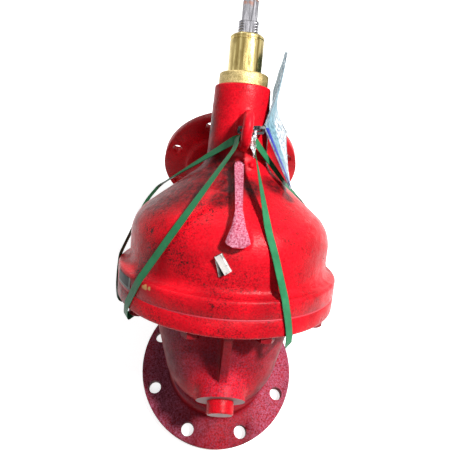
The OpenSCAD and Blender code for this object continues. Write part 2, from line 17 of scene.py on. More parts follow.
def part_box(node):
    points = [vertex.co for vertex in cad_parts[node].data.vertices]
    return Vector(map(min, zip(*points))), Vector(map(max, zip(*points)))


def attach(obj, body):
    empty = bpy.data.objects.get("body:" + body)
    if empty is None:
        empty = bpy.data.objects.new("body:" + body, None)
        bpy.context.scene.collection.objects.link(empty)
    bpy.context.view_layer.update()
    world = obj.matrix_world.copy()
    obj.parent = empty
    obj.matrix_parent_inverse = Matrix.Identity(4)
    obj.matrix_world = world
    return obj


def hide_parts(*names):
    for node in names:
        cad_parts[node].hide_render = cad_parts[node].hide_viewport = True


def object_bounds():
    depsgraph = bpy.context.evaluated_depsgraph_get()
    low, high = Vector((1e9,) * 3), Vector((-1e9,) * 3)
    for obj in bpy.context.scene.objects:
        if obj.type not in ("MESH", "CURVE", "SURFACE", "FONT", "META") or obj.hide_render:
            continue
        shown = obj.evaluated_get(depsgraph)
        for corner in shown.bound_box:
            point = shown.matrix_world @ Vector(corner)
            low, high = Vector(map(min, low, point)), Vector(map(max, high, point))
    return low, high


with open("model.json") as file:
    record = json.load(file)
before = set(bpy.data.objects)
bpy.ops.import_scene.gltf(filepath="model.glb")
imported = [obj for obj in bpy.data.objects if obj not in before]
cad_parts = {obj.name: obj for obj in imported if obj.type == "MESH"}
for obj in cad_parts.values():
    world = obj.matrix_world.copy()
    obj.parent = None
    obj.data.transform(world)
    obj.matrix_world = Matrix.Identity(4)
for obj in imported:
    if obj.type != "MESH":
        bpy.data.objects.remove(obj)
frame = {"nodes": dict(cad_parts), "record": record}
cad_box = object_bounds()

# %% [markdown]
# ## Two centre lines
# Everything on this valve is turned about the inlet's upright centre line or about the bonnet's, which
# leans 45 degrees. One matrix stands for the second: its x runs across the valve, its -y faces the
# front and its z runs up the stem, so a place on the bonnet is written as if the bonnet stood upright.

# %% The bonnet's own axes
MM = 0.001
X, Y, Z = 0, 1, 2
joints = {joint["name"]: joint for joint in frame["record"]["behaviour"]["joints"]}
joint_centre = Vector(joints["stem_turn"]["pos_m"])
stem_line = Vector(joints["disc_lift"]["axis"]).normalized()
joint_height = joint_centre.dot(stem_line)
lean = math.atan2(stem_line.y, stem_line.z)
bonnet = Matrix.Translation(joint_centre) @ Matrix.Rotation(-lean, 4, "X")


def on_bonnet(x, y, z):
    """A place given in millimetres about the bonnet's axis, in the frame that everything shares."""
    return bonnet @ (Vector((x, y, z)) * MM)


def dial_place(turn, out, height):
    """A place on the bonnet as on a dial: degrees from the front, distance out, and height."""
    a = math.radians(turn)
    return on_bonnet(out * math.sin(a), -out * math.cos(a), height)


print("the bonnet leans", round(math.degrees(lean)), "degrees")

# %% [markdown]
# ## Camera
# The valve stands on its inlet flange and is seen from above and in front, close enough for the lens
# to make the neck look long. The camera is set by where it stands and by three turns: how far it looks
# down, how far it swings sideways and how far it is tipped over. The lens and the sensor behind it are
# in millimetres.

# %% Camera
EYE = Vector((-41.8, -185.7, 765.3)) * MM
LOOK_DOWN, SWING, TIP = (math.radians(a) for a in (55.7, 5.1, 8.7))
LENS, SENSOR = 30.32, 36
level = math.cos(LOOK_DOWN)
ahead = Vector((math.sin(SWING) * level, math.cos(SWING) * level, -math.sin(LOOK_DOWN)))
right = ahead.cross(Vector((0, 0, 1))).normalized()
up = right.cross(ahead)
turned = Matrix((
    right * math.cos(TIP) + up * math.sin(TIP),
    up * math.cos(TIP) - right * math.sin(TIP),
    -ahead,
)).transposed()
camera_data = bpy.data.cameras.new("camera")
camera_data.lens, camera_data.sensor_width = LENS, SENSOR
camera_data.clip_start, camera_data.clip_end = 0.01, 20
camera = bpy.data.objects.new("camera", camera_data)
camera.matrix_world = Matrix.Translation(EYE) @ turned.to_4x4()
bpy.context.scene.collection.objects.link(camera)
bpy.context.scene.camera = camera
print("camera stands", round((EYE - joint_centre).length, 3), "m from the joint")

# %% [markdown]
# ## Helpers
# Colours are written as the hex codes of a paint chart, which are in sRGB, and shaders want linear
# numbers, so one function turns them. Another adds a node, fills its sockets and links it, because
# every material and every geometry tree below is a list of such nodes.

# %% Colour, node and mesh helpers
def paint(code):
    """A hex colour as linear red, green, blue and alpha."""
    parts = [int(code[i : i + 2], 16) / 255 for i in (1, 3, 5)]
    return [c / 12.92 if c <= 0.04045 else ((c + 0.055) / 1.055) ** 2.4 for c in parts] + [1.0]


def add(tree, kind, inputs=None, **settings):
    """Adds a node. An input that is a socket is linked, and so is a node, by its first output in
    use. Anything else becomes the socket's value."""
    new = tree.nodes.new(kind)
    for name, value in settings.items():
        setattr(new, name, value)
    for key, value in (inputs or {}).items():
        if isinstance(value, bpy.types.Node):
            value = next(socket for socket in value.outputs if socket.enabled)
        if isinstance(value, bpy.types.NodeSocket):
            tree.links.new(value, new.inputs[key])
        else:
            new.inputs[key].default_value = value
    return new


def held(mesh, name="workpiece"):
    """An object that shows a mesh or a lamp, or only holds a mesh while modifiers work on it."""
    piece = bpy.data.objects.new(name, mesh)
    bpy.context.scene.collection.objects.link(piece)
    return piece


def new_piece(name, mesh, body, finish=None):
    """Puts a mesh in the scene as a piece of the valve that moves with one of its bodies."""
    piece = held(mesh, name)
    if finish:
        mesh.materials.clear()
        mesh.materials.append(finish)
    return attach(piece, body)


def modified(piece, kind, **settings):
    """Gives an object a modifier with these settings."""
    modifier = piece.modifiers.new(kind.lower(), kind)
    for key, value in settings.items():
        setattr(modifier, key, value)
    return modifier


def taken(piece):
    """The mesh of an object with its modifiers applied. The object itself goes."""
    bpy.context.view_layer.update()
    live = piece.evaluated_get(bpy.context.evaluated_depsgraph_get())
    mesh = bpy.data.meshes.new_from_object(live)
    bpy.data.objects.remove(piece)
    return mesh


def creased(mesh, degrees):
    """Shades a mesh smooth, but for the edges that bend by more than this."""
    mesh.shade_smooth()
    mesh.set_sharp_from_angle(angle=math.radians(degrees))
    return mesh


def emptied(holder):
    """The node tree of a material or a world, with nothing in it yet."""
    holder.use_nodes = True
    holder.node_tree.nodes.clear()
    return holder.node_tree


print("helpers ready")

# %% [markdown]
# ## Room
# A pale floor and a lamp high on the right, as in a plain studio. The background is white because the
# world and the floor show white to the camera, and not because the valve is lit harder. The key lamp
# is small for a softbox, so that straps throw a shadow with an edge on the castings. The fill stands
# beside the camera, where it puts the soft highlight up the middle of the neck. The floor glows a
# little where the valve's shadow falls and fully far off, so that no horizon shows.

# %% Which rays see white
def seen_white(tree, plain, white, output):
    """Ends a tree in one shader for light and another for what the camera, glass and gloss see."""
    path = add(tree, "ShaderNodeLightPath").outputs
    shown = path["Is Camera Ray"]
    for ray in ("Is Transmission Ray", "Is Glossy Ray"):
        shown = add(tree, "ShaderNodeMath", {0: shown, 1: path[ray]}, operation="MAXIMUM")
    both = add(tree, "ShaderNodeMixShader", {0: shown, 1: plain, 2: white})
    add(tree, output, {"Surface": both})


world = bpy.data.worlds.new("studio")
bpy.context.scene.world = world
tree = emptied(world)
WORLD_LEVEL = 0.10
soft = add(tree, "ShaderNodeBackground", {"Color": paint("#EEF0F4"), "Strength": WORLD_LEVEL})
white = add(tree, "ShaderNodeBackground", {"Color": (1, 1, 1, 1), "Strength": 1.0})
seen_white(tree, soft, white, "ShaderNodeOutputWorld")
print("world at", WORLD_LEVEL)


# %% Floor
def span(value, low, high, out_low=0.0, out_high=1.0):
    """The inputs of a range node that stretches low..high to out_low..out_high and clamps it."""
    ends = {"From Min": low, "From Max": high, "To Min": out_low, "To Max": out_high}
    return {"Value": value, **ends}


FLOOR_REACH, UNDER = 6.0, 0.0002
NEAR, FAR, FLOOR_GLOW = 0.5, 2.5, 0.80
signs = ((-1, -1), (1, -1), (1, 1), (-1, 1))
corners = [(x * FLOOR_REACH, y * FLOOR_REACH, cad_box[0].z - UNDER) for x, y in signs]
floor_mesh = bpy.data.meshes.new("floor")
floor_mesh.from_pydata(corners, [], [(0, 1, 2, 3)])
floor = held(floor_mesh, "floor")
floor_paint = bpy.data.materials.new("matt white floor")
tree = emptied(floor_paint)
matt = add(tree, "ShaderNodeBsdfDiffuse", {"Color": paint("#D8D8D8")})
spot = add(tree, "ShaderNodeTexCoord").outputs["Object"]
away = add(tree, "ShaderNodeVectorMath", {0: spot}, operation="LENGTH")
glow = add(tree, "ShaderNodeMapRange", span(away, NEAR, FAR, FLOOR_GLOW, 1.0))
lifted = add(tree, "ShaderNodeEmission", {"Color": (1, 1, 1, 1), "Strength": glow})
bright = add(tree, "ShaderNodeAddShader", {0: matt, 1: lifted})
seen_white(tree, matt, bright, "ShaderNodeOutputMaterial")
floor_mesh.materials.append(floor_paint)
print("floor", 2 * FLOOR_REACH, "m across")


# %% Lamps
def softbox(name, place, watts, size):
    """A square lamp that faces the middle of the valve."""
    lamp = bpy.data.lights.new(name, "AREA")
    lamp.energy, lamp.size = watts, size
    aim = (joint_centre - Vector(place)).to_track_quat("-Z", "Y").to_matrix().to_4x4()
    held(lamp, name).matrix_world = Matrix.Translation(place) @ aim


softbox("key", (0.80, 0.0, 1.90), 66, 0.22)
softbox("fill", (0.05, -1.1, 1.9), 8, 0.7)
softbox("back", (-0.6, 1.6, 1.3), 7, 0.8)
bpy.context.scene.view_settings.view_transform = "Standard"

# %% [markdown]
# ## Patterns for finishes
# Most finishes here are one Principled shader fed by noise. A noise node's scale is counted in blobs
# to the metre, which says little, so it is worked out from a size in millimetres. Patches of dust,
# stain or wear are noise cut off between two levels, and a worn surface is a few such patches, each
# in its own colour, laid over one another in the order in which they came to be there.

# %% Patches, coats, and the start and end of a finish
def blobs(place, size_mm, detail=2.0, rough=0.5):
    """A noise node's inputs, for blobs about this many millimetres across."""
    return {"Vector": place, "Scale": 1 / (size_mm * MM), "Detail": detail, "Roughness": rough}


def patches(tree, place, size_mm, low, high, out_low=0.0, out_high=1.0, detail=3, rough=0.5):
    """out_low where noise of this size lies under low and out_high where it lies over high."""
    cloud = add(tree, "ShaderNodeTexNoise", blobs(place, size_mm, detail, rough))
    return add(tree, "ShaderNodeMapRange", span(cloud, low, high, out_low, out_high))


def coats(tree, under, *layers):
    """Colours laid over one another. Each layer is how much of it covers, 0 to 1, and its colour. A
    colour is a hex code or a node."""
    for amount, over in layers:
        a, b = (paint(colour) if isinstance(colour, str) else colour for colour in (under, over))
        under = add(tree, "ShaderNodeMix", {0: amount, 6: a, 7: b}, data_type="RGBA")
    return under


def new_finish(name):
    """An empty material, its tree and its Object coordinates."""
    finish = bpy.data.materials.new(name)
    tree = emptied(finish)
    return finish, tree, add(tree, "ShaderNodeTexCoord").outputs["Object"]


def end_finish(tree, shader, height, depth_mm, strength=0.5):
    """Ends a material in one Principled shader, whose bumps are this many millimetres deep."""
    relief = {"Height": height, "Strength": strength, "Distance": depth_mm * MM}
    bump = add(tree, "ShaderNodeBump", relief)
    main = add(tree, "ShaderNodeBsdfPrincipled", {**shader, "Normal": bump})
    add(tree, "ShaderNodeOutputMaterial", {"Surface": main})


print("finish helpers ready")

# %% [markdown]
# ## Red enamel on sand-cast iron
# The castings are poured in sand and sprayed with one coat of gloss red, straight over the skin that
# the sand leaves. So the paint has an orange-peel grain, its highlights break up, and black foundry
# dust sits in the hollows. Paint is a dielectric with an IOR of 1.5 and no metal, and dust dulls its
# gloss. The grain, specks and dust are noise on Object coordinates, each scaled from a size in
# millimetres. Real sand grain is 0.3 mm, too fine to show, so it is drawn at 2 mm.

# %% Dust, soot, painted shade and flakes
def beside(tree, place, spot, inner, outer, most=1.0, ragged=0.0):
    """How much lies beside a spot: most within inner and nothing from outer on, in metres. ragged
    is how far noise bites into its edge."""
    far = add(tree, "ShaderNodeVectorMath", {0: place, 1: spot}, operation="DISTANCE")
    if ragged:
        bite = add(tree, "ShaderNodeTexNoise", blobs(place, 5, 3, 0.6))
        far = add(tree, "ShaderNodeMath", {0: bite, 1: ragged, 2: far}, operation="MULTIPLY_ADD")
    return add(tree, "ShaderNodeMapRange", span(far, inner, outer, most, 0.0))


def black_dust(tree, place, specks):
    """Foundry dust in the paint: fine specks, coarse ones and grain, thicker in some places."""
    dust = patches(tree, place, 3.4, 0.57, 0.64, detail=2, rough=0.6)
    coarse = patches(tree, place, 9.0, 0.61, 0.67, rough=0.7)
    grain = patches(tree, place, 2.2, 0.50, 0.66, 0.0, 0.9, detail=2, rough=0.7)
    for more in (coarse, grain):
        dust = add(tree, "ShaderNodeMath", {0: dust, 1: more}, operation="MAXIMUM")
    where = patches(tree, place, 55, 0.40, 0.60, 0.15 * specks, specks)
    return add(tree, "ShaderNodeMath", {0: dust, 1: where}, operation="MULTIPLY")


def soot_and_shade(tree, place, dust, soot_and_shade_spots):
    """Thins the dust up the neck and towards the right. Round each listed spot it adds dark
    patches of soot and of painted shade and shadow.
    """
    up_stem = add(tree, "ShaderNodeVectorMath", {0: place, 1: stem_line}, operation="DOT_PRODUCT")
    neck = span(up_stem, joint_height + 170 * MM, joint_height + 215 * MM, 1.0, 0.5)
    sideways = add(tree, "ShaderNodeSeparateXYZ", {0: place}).outputs[X]
    for thinner in (neck, span(sideways, -150 * MM, 90 * MM, 1.4, 0.6)):
        kept = add(tree, "ShaderNodeMapRange", thinner)
        dust = add(tree, "ShaderNodeMath", {0: dust, 1: kept}, operation="MULTIPLY")
    uneven = patches(tree, place, 6, 0.36, 0.60, 0.55, 1.0, detail=4, rough=0.7)
    # Each spot gets a dark patch: soot, plus painted shade and shadow where the rib, eye and straps
    # shade the dome.
    for spot, reach in soot_and_shade_spots:
        black = beside(tree, place, on_bonnet(*spot), 0.5 * reach * MM, reach * MM, 0.95)
        black = add(tree, "ShaderNodeMath", {0: black, 1: uneven}, operation="MULTIPLY")
        dust = add(tree, "ShaderNodeMath", {0: dust, 1: black}, operation="MAXIMUM")
    return dust


def pale_dust_and_sheen(tree, place, dust, walls, clean):
    """Grit that settles on what faces up, and stands for a painted sheen there too. walls is its
    share there, and clean has less of it.
    """
    normal = add(tree, "ShaderNodeNewGeometry").outputs["Normal"]
    upwards = add(tree, "ShaderNodeSeparateXYZ", {0: normal}).outputs[Z]
    # More of it on what faces up: real grit, and a painted sheen where light falls from above.
    settled = add(tree, "ShaderNodeMapRange", span(upwards, 0.1, 0.9, walls, 1.0))
    grit = patches(tree, place, 2.6, 0.36, 0.70, 0.0, dust, rough=0.6)
    pale = add(tree, "ShaderNodeMath", {0: grit, 1: settled}, operation="MULTIPLY")
    if clean:
        middle, half = clean
        sideways = add(tree, "ShaderNodeSeparateXYZ", {0: place}).outputs[X]
        away = add(tree, "ShaderNodeMath", {0: sideways, 1: middle}, operation="SUBTRACT")
        away = add(tree, "ShaderNodeMath", {0: away}, operation="ABSOLUTE")
        left = add(tree, "ShaderNodeMapRange", span(away, half, 1.7 * half, 0.3, 1.0))
        pale = add(tree, "ShaderNodeMath", {0: pale, 1: left}, operation="MULTIPLY")
    return pale


print("dust, soot and flakes are ready")

# %% [markdown]
# The castings share one recipe with different numbers: black foundry dust, soot and painted shadow in
# the valleys of the bonnet, pale grit on the lower casting that also stands for a painted sheen on
# what faces up, flakes down to the tan primer at one corner, and a brighter spot round the drain
# plug, which is painted light.

# %% The enamel material
def red_enamel(name, light="#DE0A1E", deep="#A40414", specks=0.5, dust=0.1, dust_and_sheen_colour="#D98A92",
               gloss=0.34, grain_mm=0.30, clean=None, soot_and_shade_spots=(), walls=0.35, shine=0.09, lit_spot=None,
               chips=()):
    """Gloss red over cast iron. specks is how much black dust is in it, and dust how much pale
    grit, which also stands for a painted sheen on what faces up. clean is the middle and half width,
    along x in metres, of a stretch that has been wiped. soot_and_shade_spots lists places on the
    bonnet, in millimetres, with the reach of a dark patch round each, of soot and painted shade and
    shadow. walls is how much of the grit clings to upright faces. shine is the strength of the
    gloss. lit_spot is the middle and the reach, in metres, of a brighter spot: painted light.
    chips are places on the bonnet, in millimetres, where paint has flaked down to the primer."""
    finish, tree, place = new_finish(name)
    layers = [(patches(tree, place, 70, 0.35, 0.65), light)]
    # A brighter red round one spot: painted light.
    if lit_spot:
        spot, reach = lit_spot
        layers.append((beside(tree, place, spot, 0.5 * reach, reach), "#DE0C20"))
    layers.append((patches(tree, place, 3.2, 0.44, 0.62, 0.0, 0.55, rough=0.65), deep))
    black = black_dust(tree, place, specks)
    # Black specks, with patches of soot and painted shadow round the listed spots.
    layers.append((soot_and_shade(tree, place, black, soot_and_shade_spots) if soot_and_shade_spots else black, "#1E0608"))
    for spot, reach in chips:
        wide = reach * MM
        bare = beside(tree, place, on_bonnet(*spot), 0.9 * wide, 1.2 * wide, 0.85, ragged=wide)
        layers.append((bare, "#C4985E"))
    # Pale grit, which also stands for a painted sheen on what faces up.
    pale = pale_dust_and_sheen(tree, place, dust, walls, clean)
    layers.append((pale, dust_and_sheen_colour))
    sheen = patches(tree, place, 12, 0.3, 0.7, gloss - 0.08, gloss + 0.10)
    dulled = add(tree, "ShaderNodeMath", {0: pale, 1: 0.4, 2: sheen}, operation="MULTIPLY_ADD")
    peel = add(tree, "ShaderNodeTexNoise", blobs(place, 2.4, 2, 0.55))
    hollow = add(tree, "ShaderNodeTexNoise", blobs(place, 16, 2, 0.5))
    skin = add(tree, "ShaderNodeMath", {0: hollow, 1: 2.5, 2: peel}, operation="MULTIPLY_ADD")
    colour = coats(tree, deep, *layers)
    shader = {"Base Color": colour, "Roughness": dulled, "IOR": 1.5, "Specular IOR Level": shine}
    end_finish(tree, shader, skin, grain_mm, 0.6)
    return finish


# %% Four enamels
plug_low, plug_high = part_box("drain_plug")
boss_height = (plug_low.z + plug_high.z) / 2
plug_place = Vector((0, plug_high.y - 12 * MM, boss_height))
# Spots of soot and painted shadow: the valleys beside the rib, and where the rib, the eye and the
# straps throw shadows on the dome.
soot_and_shadow_spots = [
    ((-10, -85, 165), 32), ((-50, -30, 186), 58), ((-9, -60, 188), 28), ((-24, -106, 145), 22),
    ((56, -57, 167), 26), ((79, -60, 153), 18), ((-100, -50, 140), 75), ((-68, -75, 151), 36),
    ((-47, -4, 250), 30), ((19, -84, 163), 24),
]
flakes = [((-122, -136, 20), 5), ((-118, -139.5, 21), 6), ((-112, -144, 21), 4.5)]
bonnet_red = red_enamel("gloss red enamel on cast iron", specks=0.9, dust=0.03, grain_mm=0.65,
                        soot_and_shade_spots=soot_and_shadow_spots, chips=flakes)
# Below the rim the body is a darker copy of the bonnet's red: painted shade, with pale dust.
shaded_bowl_red = red_enamel("dusty red enamel on cast iron, darkened as painted shade", light="#9E060F", deep="#60030C", specks=0.6,
                      dust=0.75, dust_and_sheen_colour="#B06884", gloss=0.46, clean=(0.010, 0.045),
                      walls=0.06, shine=0.06, lit_spot=(plug_place, 0.06))
# The bolt heads are darker than the bonnet's red: painted shade under the rim.
shaded_bolt_red = red_enamel("red enamel on steel, darkened as painted shade", light="#A00A18", deep="#6A0612", specks=0.2, dust=0.05,
                      gloss=0.30, grain_mm=0.12)
# The rib's top is pale pink: dust, and a painted highlight where it faces the light.
rib_red = red_enamel("scuffed enamel on a proud rib", light="#A82C48", deep="#84203A", specks=0.25,
                     dust=0.9, dust_and_sheen_colour="#C88CA0", gloss=0.5, grain_mm=0.5)
print("enamels:", bonnet_red.name, "|", shaded_bowl_red.name, "|", shaded_bolt_red.name, "|", rib_red.name)

# %% [markdown]
# ## Machined iron
# The flange faces, and the ends of the drain boss and its plug, are turned after casting. Grey iron
# is a dark metal, and the tool leaves rings that are a fraction of a millimetre apart. They are drawn
# 1.6 mm apart, so that they show, by a sine of the distance from the axis that the face was turned on.

# %% Turned iron
def turned_iron(name, spread, centre, colour="#6A6867", ring_mm=1.6, metal=0.7):
    """Iron with rings round a centre. spread is 1 for each direction that they spread in."""
    finish, tree, place = new_finish(name)
    flat = add(tree, "ShaderNodeVectorMath", {0: place, 1: spread}, operation="MULTIPLY")
    far = add(tree, "ShaderNodeVectorMath", {0: flat, 1: centre}, operation="DISTANCE")
    around = {0: far, 1: math.tau / (ring_mm * MM)}
    wave = add(tree, "ShaderNodeMath", around, operation="MULTIPLY")
    rings = add(tree, "ShaderNodeMath", {0: wave}, operation="SINE")
    stain = patches(tree, place, 30, 0.45, 0.68, detail=4, rough=0.6)
    colour = coats(tree, colour, (stain, "#6A4E3E"))
    end_finish(tree, {"Base Color": colour, "Metallic": metal, "Roughness": 0.5}, rings, 0.15)
    return finish


mounts = {mount["name"]: mount for mount in frame["record"]["mounts"]}
outlet = Vector(mounts["outlet_face"]["pos_m"])
inlet_iron = turned_iron("turned iron of the inlet face", (1, 1, 0), (0, 0, 0))
outlet_iron = turned_iron("turned iron of the outlet face", (1, 0, 1), (0, 0, outlet.z))
boss_iron = turned_iron("filed iron of the boss", (1, 0, 1), (0, 0, boss_height), colour="#7A585A",
                        ring_mm=3.0, metal=0.1)
print("machined faces:", inlet_iron.name, "|", outlet_iron.name, "|", boss_iron.name)

# %% [markdown]
# ## The two castings
# A pattern maker rounds every inner corner of a casting, because sharp ones crack as the iron cools,
# but the CAD model joins its shapes with sharp creases. Bevelling those creases fails on such a
# mesh. So a copy of each casting is rebuilt from 4 mm cubes and smoothed, which wears its edges away
# and fills its corners. It is sunk a hair and merged with the sharp casting: the outer edges stay as
# crisp as the real ones, and only the filled corners stand out of it.

# %% One closed skin from a CAD node
def cad_copy(node):
    """A CAD node's mesh with its loose triangles merged."""
    mesh = frame["nodes"][node].data.copy()
    soup = bmesh.new()
    soup.from_mesh(mesh)
    bmesh.ops.remove_doubles(soup, verts=soup.verts, dist=1e-6)
    soup.to_mesh(mesh)
    soup.free()
    return mesh


def merged(mesh, others):
    """Unites a closed mesh with other closed objects, and takes those away."""
    piece = held(mesh)
    for other in others:
        modified(piece, "BOOLEAN", operation="UNION", object=other, solver="MANIFOLD")
    made = taken(piece)
    for done in others:
        bpy.data.objects.remove(done)
    return made


def filleted(mesh, cube=4 * MM, rounds=8, sunk=0.15 * MM):
    """Fills the inner corners of a closed mesh and leaves its outer edges."""
    worn = held(mesh.copy())
    modified(worn, "REMESH", mode="VOXEL", voxel_size=cube)
    modified(worn, "SMOOTH", factor=0.5, iterations=rounds)
    modified(worn, "DISPLACE", strength=-sunk, mid_level=0)
    return merged(mesh, [held(taken(worn))])


print("casting tools ready")

# %% [markdown]
# ## Lumps that the foundry left
# Two places on the bonnet aren't in the drawing: a chip of iron beside the lifting eye, and a rough
# pad on the shoulder where sand fell out of the mould. Each starts as a ball that is pressed flat and
# then dented at random, from a fixed seed, and it is poured together with the casting.

# %% Lumps
from random import Random

TIPPED = math.radians(38)


def lump(turn, out, height, size_mm, dents_mm, seed):
    """A dented ball on the bonnet, at a place given as on a dial and tipped back with the dome."""
    ball = bmesh.new()
    bmesh.ops.create_icosphere(ball, subdivisions=4, radius=1.0)
    dice = Random(seed)
    a = math.radians(turn)
    lie = bonnet @ Matrix.Translation(Vector((out * math.sin(a), -out * math.cos(a), height)) * MM)
    lie = lie @ Matrix.Rotation(a, 4, "Z") @ Matrix.Rotation(TIPPED, 4, "X")
    wide, deep, high = size_mm
    for v in ball.verts:
        dented = high + dice.uniform(-dents_mm, dents_mm)
        v.co = lie @ (Vector((v.co.x * wide, v.co.y * deep, v.co.z * dented)) * MM)
    mesh = bpy.data.meshes.new("lump")
    ball.to_mesh(mesh)
    ball.free()
    return held(mesh)


lumps = [
    lump(22, 53, 194, (5.0, 6.0, 6.0), 0.3, 1),
    lump(-21, 81, 165.5, (12, 17, 3.0), 1.0, 2),
    lump(-38, 60, 171, (7, 12, 2.5), 0.7, 3),
]
print("lumps:", len(lumps))

# %% [markdown]
# ## Pour the castings
# Each casting is merged, filleted and shaded smooth up to a crease of 32 degrees. Its finish differs
# from place to place, so its faces are sorted by where they lie: the machined flange faces are bare
# iron, the top of the proud rib is pale, with dust and a painted highlight, and the lower casting has
# the bonnet's red at the rim and is dusty below it, in a darker red that is painted shade.
# The dome's outline is an arc about its shoulder, which runs on as a straight slope up to the neck, so
# the rib's top is what stands well proud of that outline.

# %% Where a face lies
dial = bonnet.inverted()
SHOULDER_OUT, SHOULDER_UP, SHOULDER_R = 102, 72, 62
SLOPE = math.radians(52)
RIB_HALF, RIB_OUT, RIB_LOW, RIB_HIGH, RIB_PROUD = 18, 60, 95, 205, 13
RIM_FROM, RIM_UNDER = 150, -26.5
BOSS_Y, HAIR = -86 * MM, 0.01 * MM


def bonnet_place(co):
    """A place in millimetres about the bonnet's axis: x, towards the front, and up."""
    at = dial @ co
    return at.x / MM, -at.y / MM, at.z / MM


def above_dome(front, height):
    """How far a place near the middle plane stands proud of the dome's outline."""
    out, up = front - SHOULDER_OUT, height - SHOULDER_UP
    if math.atan2(up, out) < SLOPE:
        return math.hypot(out, up) - SHOULDER_R
    return out * math.cos(SLOPE) + up * math.sin(SLOPE) - SHOULDER_R


def upper_face(face):
    """0 for red, 1 for the pale top of the rib, dust and a painted highlight, and 2 for the
    outlet's machined face.
    """
    x, front, height = bonnet_place(face.center)
    if face.center.y > outlet.y - HAIR:
        return 2
    on_rib = abs(x) < RIB_HALF and RIB_LOW < height < RIB_HIGH and front > RIB_OUT
    pale_rib_top = on_rib and above_dome(front, height) > RIB_PROUD and abs(face.normal.x) < 0.4
    return 1 if pale_rib_top else 0


def lower_face(face):
    """0 for dusty red darkened as painted shade, 1 for the rim in the bonnet's red, 2 for the
    inlet's machined face, 3 for the boss's.
    """
    x, front, height = bonnet_place(face.center)
    if face.center.z < HAIR:
        return 2
    if face.normal.y < -0.99 and abs(face.center.y - BOSS_Y) < 20 * HAIR:
        return 3
    return 1 if height > RIM_UNDER and math.hypot(x, front) > RIM_FROM else 0


print("the rib's top stands more than", RIB_PROUD, "mm proud of the dome")


# %% Castings
def pour(node, extra, finishes, sort):
    """Makes a casting's piece. sort gives each face the number of one of the finishes."""
    mesh = cad_copy(node)
    if extra:
        mesh = merged(mesh, extra)
    mesh = filleted(mesh)
    mesh.name = node
    mesh.materials.clear()
    for finish in finishes:
        mesh.materials.append(finish)
    for face in mesh.polygons:
        face.material_index = sort(face)
    creased(mesh, 32)
    piece = new_piece(node.title(), mesh, "valve_body")
    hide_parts(node)
    print(piece.name, len(mesh.polygons), "faces")


pour("upper_casting", lumps, [bonnet_red, rib_red, outlet_iron], upper_face)
pour("lower_casting", [], [shaded_bowl_red, bonnet_red, inlet_iron, boss_iron], lower_face)

# %% [markdown]
# ## Helpers for Geometry Nodes
# What repeats or follows a rule is grown by a node tree, so that one number changes it. Each tree
# names its sizes as inputs. A modifier's input is set by the identifier of its socket, so a helper
# looks that up from the name and bakes the result into a plain mesh. The bolts and the thread are
# made upright and are laid on the leaning bonnet last.

# %% Trees with named inputs
SOCKETS = {int: "NodeSocketInt", float: "NodeSocketFloat", Vector: "NodeSocketVector"}
LEANING = Vector((-lean, 0, 0))


def new_growth(name, **sizes):
    """A geometry tree whose inputs are the incoming mesh, a finish and these sizes."""
    tree = bpy.data.node_groups.new(name, "GeometryNodeTree")
    tree.interface.new_socket("Geometry", in_out="INPUT", socket_type="NodeSocketGeometry")
    tree.interface.new_socket("Finish", in_out="INPUT", socket_type="NodeSocketMaterial")
    for size, kind in sizes.items():
        tree.interface.new_socket(size, in_out="INPUT", socket_type=SOCKETS[kind])
    tree.interface.new_socket("Geometry", in_out="OUTPUT", socket_type="NodeSocketGeometry")
    return tree, tree.nodes.new("NodeGroupInput").outputs


def end_growth(tree, geometry, finish):
    """Ends a tree the same way each time: real geometry, in its finish."""
    real = add(tree, "GeometryNodeRealizeInstances", {"Geometry": geometry})
    done = add(tree, "GeometryNodeSetMaterial", {"Geometry": real, "Material": finish})
    add(tree, "NodeGroupOutput", {"Geometry": done})


def laid(tree, geometry, given):
    """Moves and leans geometry by the tree's inputs for that."""
    lie = {"Geometry": geometry, "Translation": given["Place"], "Rotation": given["Lean"]}
    return add(tree, "GeometryNodeTransform", lie)


def grown(mesh, tree, finish, **sizes):
    """The mesh that a tree makes of another mesh at these sizes."""
    piece = held(mesh)
    modifier = modified(piece, "NODES", node_group=tree)
    sockets = {s.name: s.identifier for s in tree.interface.items_tree if s.in_out == "INPUT"}
    for name, value in {"Finish": finish, **sizes}.items():
        modifier[sockets[name]] = value
    return taken(piece)


print("geometry helpers ready")

# %% [markdown]
# ## Joint bolts
# Ten hexagon bolts come up through the lower rim into tapped holes in the upper one. Only the heads
# show, under the rim. A real head isn't a bare prism: its corners are turned away under a cone, and
# it stands on a thin round washer face. One bolt is drawn as rings of points, and the tree sets ten of
# them on a circle, each turned at random as a spanner leaves it, and lays the circle on the bonnet.

# %% One bolt
def stacked(rings):
    """A closed mesh from rings of places, in millimetres, that have the same number of points."""
    solid = bmesh.new()
    rows = [[solid.verts.new(Vector(co) * MM) for co in ring] for ring in rings]
    for low, high in zip(rows, rows[1:]):
        for i in range(len(low)):
            j = (i + 1) % len(low)
            solid.faces.new((low[i], low[j], high[j], high[i]))
    solid.faces.new(rows[0][::-1])
    solid.faces.new(rows[-1])
    bmesh.ops.recalc_face_normals(solid, faces=solid.faces)
    mesh = bpy.data.meshes.new("stacked")
    solid.to_mesh(mesh)
    solid.free()
    return mesh


def ring(radii, z):
    """Places round the axis at these distances from it, one for each step of the turn."""
    turns = [math.tau * i / len(radii) for i in range(len(radii))]
    return [(r * math.cos(a), r * math.sin(a), z) for a, r in zip(turns, radii)]


def hexagon(points, wide):
    """Distance from the middle to a hexagon's side, at each of so many points round it."""
    sides = [abs((360 * i / points + 30) % 60 - 30) for i in range(points)]
    return [wide / 2 / math.cos(math.radians(a)) for a in sides]


